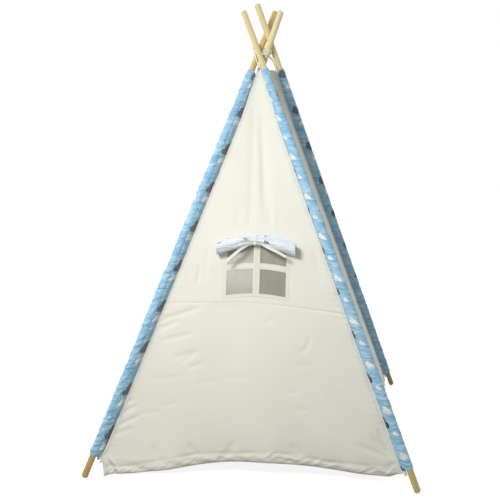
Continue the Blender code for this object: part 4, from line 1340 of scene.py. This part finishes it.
film = front_patch(
    "window_vinyl_sheet", (LEFT_X - WINDOW_LAP, RIGHT_X + WINDOW_LAP),
    (WINDOW_BOTTOM - WINDOW_LAP, WINDOW_TOP + WINDOW_LAP), -(CLOTH / 2 + FIT + FILM / 2), FILM, film_look, (40, 36),
)
gathers_front(stands_for(film, "window_film"))

# %% [markdown]
# ## Bars
# Two canvas tapes cross in front of the film and stand for window bars. The level one fills the opening from side
# to side in the plane of the wall. The upright one laps over it and over the lower hem. Both are grids that ask
# the wall and the window's arch for their place, as the film does, so they bend with the cloth.

# %% Bars
BAR_HEIGHT, BAR_ACROSS, BAR_UPRIGHT, BAR_X = 0.680, 0.0217, 0.0235, 0.0028
half = BAR_ACROSS / FRONT.lean(BAR_HEIGHT) / 2
bar_level = front_patch(
    "window_bar_level", (LEFT_X + FIT, RIGHT_X - FIT), (BAR_HEIGHT - half, BAR_HEIGHT + half),
    (TAPE_THICK - CLOTH) / 2, TAPE_THICK, TAPE, (60, 8),
)
bar_upright = front_patch(
    "window_bar_upright", (BAR_X - BAR_UPRIGHT / 2, BAR_X + BAR_UPRIGHT / 2),
    (WINDOW_BOTTOM - WINDOW_LAP, WINDOW_TOP), CLOTH / 2 + FIT + TAPE_THICK / 2, TAPE_THICK, TAPE, (8, 60),
)
for made, node in ((bar_level, "window_bar_horizontal"), (bar_upright, "window_bar_vertical")):
    gathers_front(stands_for(made, node))

# %% [markdown]
# ## Rolled curtain
# The curtain hangs from a seam above the window and is rolled up forwards. Two turns of cloth wind in to a loose core,
# the roll droops to both ends, and the tie pinches its middle. A cylinder would hide the spiral that its ends show,
# and a spiral curve that is pulled into a tube can't droop. So a flat grid is wound: one side of it runs along
# the roll, the other round the spiral, and each place on the roll is a distance along it and an angle.

# %% Roll lines
ROLL_LENGTH, ROLL_RADIUS, ROLL_CORE, ROLL_TURNS, ROLL_CLOTH = 0.276, 0.025, 0.006, 2, 0.0016
ROLL_HEIGHT, ROLL_DROOP, CURTAIN_HEADER, TIE_X = 0.7645, 0.034, 0.006, -0.004
PINCH, PINCH_REACH, ROLL_CLEAR = 0.42, 0.036, 0.0032


def roll_scale(x):
    """How wide the roll is beside its full width, where the tie pinches it."""
    return 1 - PINCH * math.exp(-(((x - TIE_X) / PINCH_REACH) ** 2))


def roll_height(x):
    """The height of the roll's middle, which droops to both ends."""
    return ROLL_HEIGHT - ROLL_DROOP * abs(2 * x / ROLL_LENGTH) ** 1.3


def roll_centre(x):
    """The roll's middle line, just clear of the wall."""
    return FRONT.point_at(WINDOW_X + x, roll_height(x), ROLL_CLEAR + ROLL_RADIUS * roll_scale(x))


def curtain_seam(x, lift):
    """A point of the seam that the curtain hangs from, just above the roll."""
    return FRONT.point_at(WINDOW_X + x, roll_height(x) + ROLL_RADIUS * roll_scale(x) + CURTAIN_HEADER, lift)


def roll_radius(angle):
    """The spiral: from the outer turn in to the core."""
    turned = (angle + 180) / 360 / ROLL_TURNS
    return between(ROLL_RADIUS, ROLL_CORE, turned**1.6)


ROLL_OUT = FRONT.at(ROLL_HEIGHT)[2]
ROLL_SIDE = plan(UP.cross(ROLL_OUT))
ROLL_UP = ROLL_OUT.cross(ROLL_SIDE)


def on_roll(x, angle, lift=0.0):
    """A point at an angle in degrees round the roll, at a lift from the middle of its outer cloth."""
    turned = math.radians(angle)
    facing = ROLL_OUT * math.cos(turned) + ROLL_UP * math.sin(turned)
    return roll_centre(x) + facing * (roll_radius(angle) * roll_scale(x) + lift)


print("roll", ROLL_LENGTH, "m long,", round(2 * ROLL_RADIUS * roll_scale(TIE_X), 3), "m thick at its tie")

# %% [markdown]
# ## Curtain cloth
# The wrong side of the print is pale, with a few small dark marks that show through. The pinch of the tie sends
# creases out along the roll, which is flattened by its own weight. Sculpting them would be quick, but a script can't
# repeat it. So they are sums of sine waves and noise, and only press inwards, which keeps the roll's thickness.

# %% Curtain print and creases
CURTAIN_PRINT = printed(
    "print_curtain", [(-0.085, 0.060, 0.016), (0.075, 0.045, 0.016), (0.02, 0.02, 0.016)],
    [
        (-0.134, 0.067, 0.0045), (-0.127, 0.068, 0.0040), (-0.041, 0.058, 0.0045), (-0.034, 0.0555, 0.0040),
        (0.029, 0.071, 0.0030), (0.035, 0.071, 0.0030), (0.033, 0.047, 0.0050), (0.042, 0.046, 0.0045),
    ],
    (0.24, 0.27, 0.38), (0.40, 0.147), 0.84,
)
print("curtain finish", CURTAIN_PRINT.name)


def roll_crease(x, angle):
    """Creases that fan out from the pinch, flats along the roll and soft dents."""
    turned = math.radians(angle)
    round_it = Vector((0, math.cos(turned), math.sin(turned)))
    x -= TIE_X
    beyond = eased((abs(x) - 0.008) / 0.012)
    fan = math.sin(turned * 7 + 0.8 * math.sin(x * 60) + x * 30) * math.exp(-(((abs(x) - 0.034) / 0.030) ** 2))
    flats = math.sin(turned * 2.5 + x * 9 + 0.6) ** 4 * eased((abs(x) - 0.03) / 0.04)
    dents = noise.noise(round_it * 1.2 + Vector((x * 26, 0, 0)))
    dents += 0.5 * noise.noise(round_it * 2 + Vector((x * 55, 7, 0)))
    return beyond * (-0.0023 * (1 + fan) - 0.0022 * flats + 0.0026 * min(dents, 0))


# %% Curtain
HEADER_SHARE = 0.03


def make_curtain():
    """The header down from its seam, and then the spiral."""
    bm = flat_grid(150, 130)
    wound = ROLL_TURNS * math.pi * (ROLL_RADIUS + ROLL_CORE)

    def along(share):
        side = 2 * share - 1
        return math.copysign(abs(side) ** 1.3, side) * ROLL_LENGTH / 2

    def place(share, rise):
        x = along(share)
        if rise < HEADER_SHARE:
            return curtain_seam(x, CLOTH / 2 + FIT + ROLL_CLOTH / 2).lerp(on_roll(x, -180), rise / HEADER_SHARE)
        angle = between(-180, 360 * ROLL_TURNS - 180, (rise - HEADER_SHARE) / (1 - HEADER_SHARE))
        outer = eased((angle + 180) / 60)
        return on_roll(x, angle, roll_crease(x, angle) * outer)

    def to_edges(share, rise):
        return ROLL_LENGTH / 2 - abs(along(share)), min(rise, 1 - rise) * wound, 1

    hang(bm, lambda share, rise: (along(share), rise * wound), place, to_edges)
    return sewn_piece("rolled_print_curtain", bm, CURTAIN_PRINT, ROLL_CLOTH)


curtain = gathers_front(stands_for(make_curtain(), "rolled_curtain"))
print(curtain.name, len(curtain.data.polygons), "faces", round(cloth_area(curtain), 4), "m2")

# %% [markdown]
# ## Curtain tie
# One tape comes over the front of the roll and one from behind. They are knotted under it, and two tails hang
# from the knot. A curve with a flat bevel could make a tape, but its width direction is hard to steer.
# So each tape is a narrow grid laid along a smooth path, with the width direction given at every point.


# %% Tapes
UNSEWN = 0.0045  # Taken from a tape's distance to its sides, so that no row of stitches runs along it.


def finer(points, per_span):
    """A smooth curve through the points of a path."""
    ends = [points[0] * 2 - points[1], *points, points[-1] * 2 - points[-2]]
    route = []
    for before, start, end, after in zip(ends, ends[1:], ends[2:], ends[3:]):
        for i in range(per_span):
            t = i / per_span
            bend = (before * 2 - start * 5 + end * 4 - after) * t**2 + (start * 3 - before - end * 3 + after) * t**3
            route.append((start * 2 + (end - before) * t + bend) * 0.5)
    return [*route, points[-1]]


def ribbon(name, path, across, width, node):
    """A flat tape along a path; across gives its width direction at each point."""
    count = len(path) - 1
    bm = flat_grid(6, count)
    length = sum((one - other).length for one, other in zip(path, path[1:]))

    def place(share, rise):
        number = round(rise * count)
        return path[number] + across[number] * width * (share - 0.5)

    def to_edges(share, rise):
        return min(share, 1 - share) * width - UNSEWN, min(rise, 1 - rise) * length, 1

    hang(bm, lambda share, rise: (share * width, rise * length), place, to_edges)
    print(name, round(length * 1000), "mm")
    return stands_for(sewn_piece(name, bm, TAPE, TAPE_THICK), node)


def steps(count):
    """Shares from 0 to 1 in equal steps."""
    return [i / count for i in range(count + 1)]


# %% Tapes round the roll
TIE_WIDTH, TIE_EASE, KNOT_RADIUS, KNOT_FLATNESS, KNOT_ANGLE, TIE_END = 0.008, 0.0011, 0.008, 0.62, -52, 6
clear = ROLL_CLOTH / 2 + TIE_EASE + TAPE_THICK / 2
seam_start = curtain_seam(TIE_X, CLOTH / 2 + FIT * 2 + ROLL_CLOTH + TAPE_THICK / 2)
over = finer([seam_start] + [on_roll(TIE_X, between(112, KNOT_ANGLE + TIE_END, s), clear) for s in steps(9)], 5)
behind = finer([on_roll(TIE_X, between(-150, KNOT_ANGLE - TIE_END, s), clear) for s in steps(5)], 5)
tie_front = ribbon("tie_over_roll", over, [ROLL_SIDE] * len(over), TIE_WIDTH, "curtain_tie_front")
tie_rear = ribbon("tie_behind_roll", behind, [ROLL_SIDE] * len(behind), TIE_WIDTH, "curtain_tie_rear")

# %% [markdown]
# ## Tails
# The tails leave the knot flat on the roll and turn their flat side to the front as they fall.
# The left one hangs lower, and the right one runs along under the roll, as in the photograph.

# %% Tails
knot_turn = math.radians(KNOT_ANGLE)
KNOT_FACING = ROLL_OUT * math.cos(knot_turn) + ROLL_UP * math.sin(knot_turn)
KNOT_CENTRE = on_roll(TIE_X, KNOT_ANGLE, clear + TAPE_THICK / 2 + FIT + KNOT_RADIUS * KNOT_FLATNESS)
tails = []
for name, hand, (reach, drop) in (("left", -1, (0.097, 0.042)), ("right", 1, (0.112, 0.018))):
    path = [KNOT_CENTRE + ROLL_SIDE * hand * (KNOT_RADIUS + FIT)]
    for share in steps(8)[1:]:
        x = TIE_X + hand * between(KNOT_RADIUS + FIT, reach, share)
        out = KNOT_FACING * 0.004 * math.sin(math.pi * share)
        path.append(on_roll(x, KNOT_ANGLE, clear) - ROLL_UP * drop * share**2 + out)
    path = finer(path, 6)
    across = []
    for i in range(len(path)):
        run = (path[min(i + 1, len(path) - 1)] - path[max(i - 1, 0)]).normalized()
        facing = KNOT_FACING.slerp(ROLL_OUT, eased(1.6 * i / len(path)))
        across.append(facing.cross(run).normalized())
    tails.append(ribbon(f"tie_tail_{name}", path, across, TIE_WIDTH * 1.15, f"curtain_tie_tail_{name}"))

# %% [markdown]
# ## Knot
# A real knot is the tapes themselves, but at 15 mm across only its shape shows. So a sphere is pressed flat,
# and two wraps of tape show as rounded bands with a groove between them.

# %% Knot
bm = bmesh.new()
bmesh.ops.create_uvsphere(bm, u_segments=40, v_segments=28, radius=KNOT_RADIUS)
for vert in bm.verts:
    place = vert.co / KNOT_RADIUS
    band = 0.5 + 0.5 * math.cos(place.x * 7.5 + place.z * 2.4)
    vert.co *= 1 - 0.10 * band - 0.05 * abs(noise.noise(place * 3.1))
bmesh.ops.scale(bm, verts=bm.verts, vec=(1, KNOT_FLATNESS, 0.8))
turn = Matrix((ROLL_SIDE, KNOT_FACING, ROLL_SIDE.cross(KNOT_FACING))).transposed()
bmesh.ops.transform(bm, verts=bm.verts, matrix=Matrix.Translation(KNOT_CENTRE) @ turn.to_4x4())
uv, sewn = bm.loops.layers.uv.new("cloth"), bm.verts.layers.float_vector.new("edges")
for vert in bm.verts:
    vert[sewn] = Vector((1, 1, 1))
for face in bm.faces:
    for loop in face.loops:
        loop[uv].uv = loop.vert.co.xz
knot = stands_for(sewn_piece("tie_knot", bm, TAPE), "curtain_tie_knot")
for made in (tie_front, tie_rear, knot, *tails):
    gathers_front(made)
print("knot", [round(1000 * part) for part in knot.dimensions], "mm")

# %% [markdown]
# ## Door ties and corner tabs
# The door ties hang flat beside the poles. A tab is a short tape folded double, sewn into the lower end
# of each sleeve. Both are ribbons again: only their paths are new.

# %% Door ties and tabs
DOOR_TIE_HEIGHT, DOOR_TIE_LENGTH, DOOR_TIE_INSET = 0.62, 0.16, 0.012
TAB_LENGTH, SHORT_TAB, TAB_WIDTH = 0.017, 0.008, 0.010


def door_tie(side):
    """A tape that hangs beside the corner seam."""
    path, across = [], []
    for share in steps(40):
        height = DOOR_TIE_HEIGHT - DOOR_TIE_LENGTH * share
        fold, seam = panel_edges(side, height)
        run = (fold - seam).normalized()
        normal = LEFT.at(height)[2]
        normal = (normal - run * normal.dot(run)).normalized()
        lift = CLOTH / 2 + FIT + TAPE_THICK / 2 + 0.001 * eased(share * 3)
        path.append(seam + run * DOOR_TIE_INSET + normal * lift)
        across.append(run)
    return gathers_door(ribbon(f"door_tie_tape_{side}", path, across, TIE_WIDTH, f"door_tie_{side}"), side)


def corner_tab(corner):
    """A tape that goes down and comes up again. The wall's corner hides most of the front left one."""
    axis, foot = AXES[corner], pole_at(corner, SLEEVE_BOTTOM)
    direction = (squared(corner, SLEEVE_BOTTOM, corner_seam(corner, SLEEVE_BOTTOM)) - foot).normalized()
    across = axis.cross(direction).normalized() * 0.0012
    length = SHORT_TAB if corner == "front_left" else TAB_LENGTH
    top = foot + direction * (seam_reach(corner, SLEEVE_BOTTOM) - TAB_WIDTH) - axis * 0.0006
    knee = top - axis * length * 0.9
    path = finer([top - across, knee - across, top - axis * length, knee + across, top + across], 6)
    made = ribbon(f"{corner}_tab_tape", path, [direction] * len(path), TAB_WIDTH, f"{corner}_corner_tab")
    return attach(made, f"{corner}_frame")


for side in DOOR_SIDES:
    door_tie(side)
for corner in CORNERS:
    corner_tab(corner)

# %% [markdown]
# ## Tie cord
# A twisted cotton cord of three strands lashes the poles together. It is held by the poles all the way,
# so it isn't loose. Three tubes twisted together would be truer, and three times as heavy. One tube shows the same:
# its section is a circle with three soft lobes that turn as the section moves along the cord.

# %% Cord finish
CORD_RADIUS, CORD_TWIST = 0.0025, 0.016
cord_look, tree, shader = finish("cotton_cord", 0.9, 0.2)
flat = wired(tree, "UVMap", uv_map="cloth")
slanted = wired(tree, "Mapping", flat, None, (0, 0, 0.7), (1, 0.15, 1))
fibres = wired(tree, "TexNoise", slanted, None, 1500.0, 3.0, 0.6)
cream = tinted(tree, fibres, (0.80, 0.75, 0.58), (0.93, 0.90, 0.78))
plugged(tree, shader, cream, bumped(tree, fibres, 0.0003, 0.6))
print("cord finish", cord_look.name)


# %% Cord
CORD_STEP, CORD_TIP, CORD_GIRTH = 0.0011, 0.0022, 0.0157


def evenly(route, step):
    """Points at even steps along a route, and its length."""
    lengths = [0.0]
    for one, other in zip(route, route[1:]):
        lengths.append(lengths[-1] + (other - one).length)
    total = lengths[-1]
    count = int(total / step)
    places, number = [], 0
    for i in range(count + 1):
        target = total * i / count
        while number < len(lengths) - 2 and lengths[number + 1] < target:
            number += 1
        span = max(lengths[number + 1] - lengths[number], 1e-9)
        places.append(route[number].lerp(route[number + 1], min((target - lengths[number]) / span, 1)))
    return places, total


def rope(name, route, node):
    """A twisted cord along a route, with rounded ends."""
    places, total = evenly(finer(route, 3), CORD_STEP)
    count = len(places) - 1
    tangents = [(places[min(i + 1, count)] - places[max(i - 1, 0)]).normalized() for i in range(count + 1)]
    sides = [tangents[0].orthogonal().normalized()]
    for tangent in tangents[1:]:
        sides.append((sides[-1] - tangent * sides[-1].dot(tangent)).normalized())
    bm = flat_grid(18, count)

    def place(turn, rise):
        number = round(rise * count)
        angle = math.tau * turn
        along = total * number / count
        lobe = abs(math.cos(1.5 * (angle - along * math.tau / CORD_TWIST)))
        end = min(along, total - along)
        cap = math.sqrt(max(0.0, 1 - (1 - min(end / CORD_TIP, 1)) ** 2))
        radius = CORD_RADIUS * (0.87 + 0.13 * lobe) * cap
        other = tangents[number].cross(sides[number])
        return places[number] + (sides[number] * math.cos(angle) + other * math.sin(angle)) * radius

    hang(bm, lambda turn, rise: (turn * CORD_GIRTH, rise * total), place)
    print(name, round(total * 1000), "mm")
    return stands_for(sewn_piece(name, bm, cord_look, closed=True), node)


# %% [markdown]
# ## The cord's course
# The cord is wound nearly three times round the rear left pole. One end runs round the front poles down to
# the front wall's top, the other down to the rear right sleeve. Each route is a few points beside a pole:
# how far above the crossing, on which side of the pole, and how far out as a share of where the cord touches it.

# %% Cord routes
CORD_REACH = POLE_RADIUS + 0.0005 + CORD_RADIUS
COIL_MIDDLE, COIL_TURNS, COIL_STEPS, COIL_PITCH, COIL_START = 1.4395, 2.75, 24, 0.0068, 14.5


def away(start, towards, distance):
    """The point at a distance from one point towards another."""
    return start + (towards - start).normalized() * distance


def onward(before, end, distance):
    """The point at a distance straight on from the end of a line."""
    return away(end, end * 2 - before, distance)


def passing(route):
    """The points of a route beside the poles."""
    return [
        beside_pole(corner, CROSSING_HEIGHT + rise, Vector((*bearing, 0)), CORD_REACH * share)
        for corner, rise, bearing, share in route
    ]


# %% Winding
axis = AXES["rear_left"]
middle = pole_at("rear_left", COIL_MIDDLE)
first = plan(axis.cross(UP)).cross(axis).normalized()
second = axis.cross(first)
coil = []
for i in range(round(COIL_TURNS * COIL_STEPS) + 1):
    angle = math.radians(COIL_START) + math.tau * i / COIL_STEPS
    ring = (first * math.cos(angle) + second * math.sin(angle)) * CORD_REACH
    coil.append(middle + ring + axis * COIL_PITCH * (i / COIL_STEPS - COIL_TURNS / 2))
turns = [onward(coil[1], coil[0], 0.007), *coil, onward(coil[-2], coil[-1], 0.007)]
meet = onward(turns[-2], turns[-1], FIT)
leave = onward(turns[1], turns[0], FIT)
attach(rope("lashing_turns", turns, "tie_cord_winding"), "rear_left_frame")

# %% Both ends
front_route = passing((
    ("front_right", -0.052, (-1, 0.35), 1.25), ("front_right", -0.030, (-1, 0.1), 1.05),
    ("front_right", -0.008, (-1, 0.3), 1.15), ("front_left", 0.002, (-1, -0.1), 1.15),
    ("front_left", 0.004, (-0.6, 1), 1.1), ("front_left", 0.002, (0.25, 1), 1.1),
    ("front_left", -0.002, (0.6, 0.85), 1.06),
))
front_top = FRONT.point(0.5, COVER_TOP) + UP * CORD_RADIUS
front_route = finer([front_top, *front_route, onward(turns[-1], meet, CORD_RADIUS)], 5) + [meet]
rear_route = passing((("rear_right", -0.043, (-1, 0.1), 1.15), ("rear_right", -0.058, (-1, -0.4), 1.1)))
facing = inward("rear_right", SLEEVE_TOP)
rear_top = beside_pole("rear_right", SLEEVE_TOP + CORD_RADIUS, facing, CORD_REACH * 1.04)
rear_top -= AXES["rear_right"] * 0.006
rear_route = [leave] + finer([onward(turns[0], leave, CORD_RADIUS), *rear_route, rear_top], 5)
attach(rope("lashing_front_end", front_route, "tie_cord_front"), "front_left_frame")
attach(rope("lashing_rear_end", rear_route, "tie_cord_rear"), "rear_right_frame")
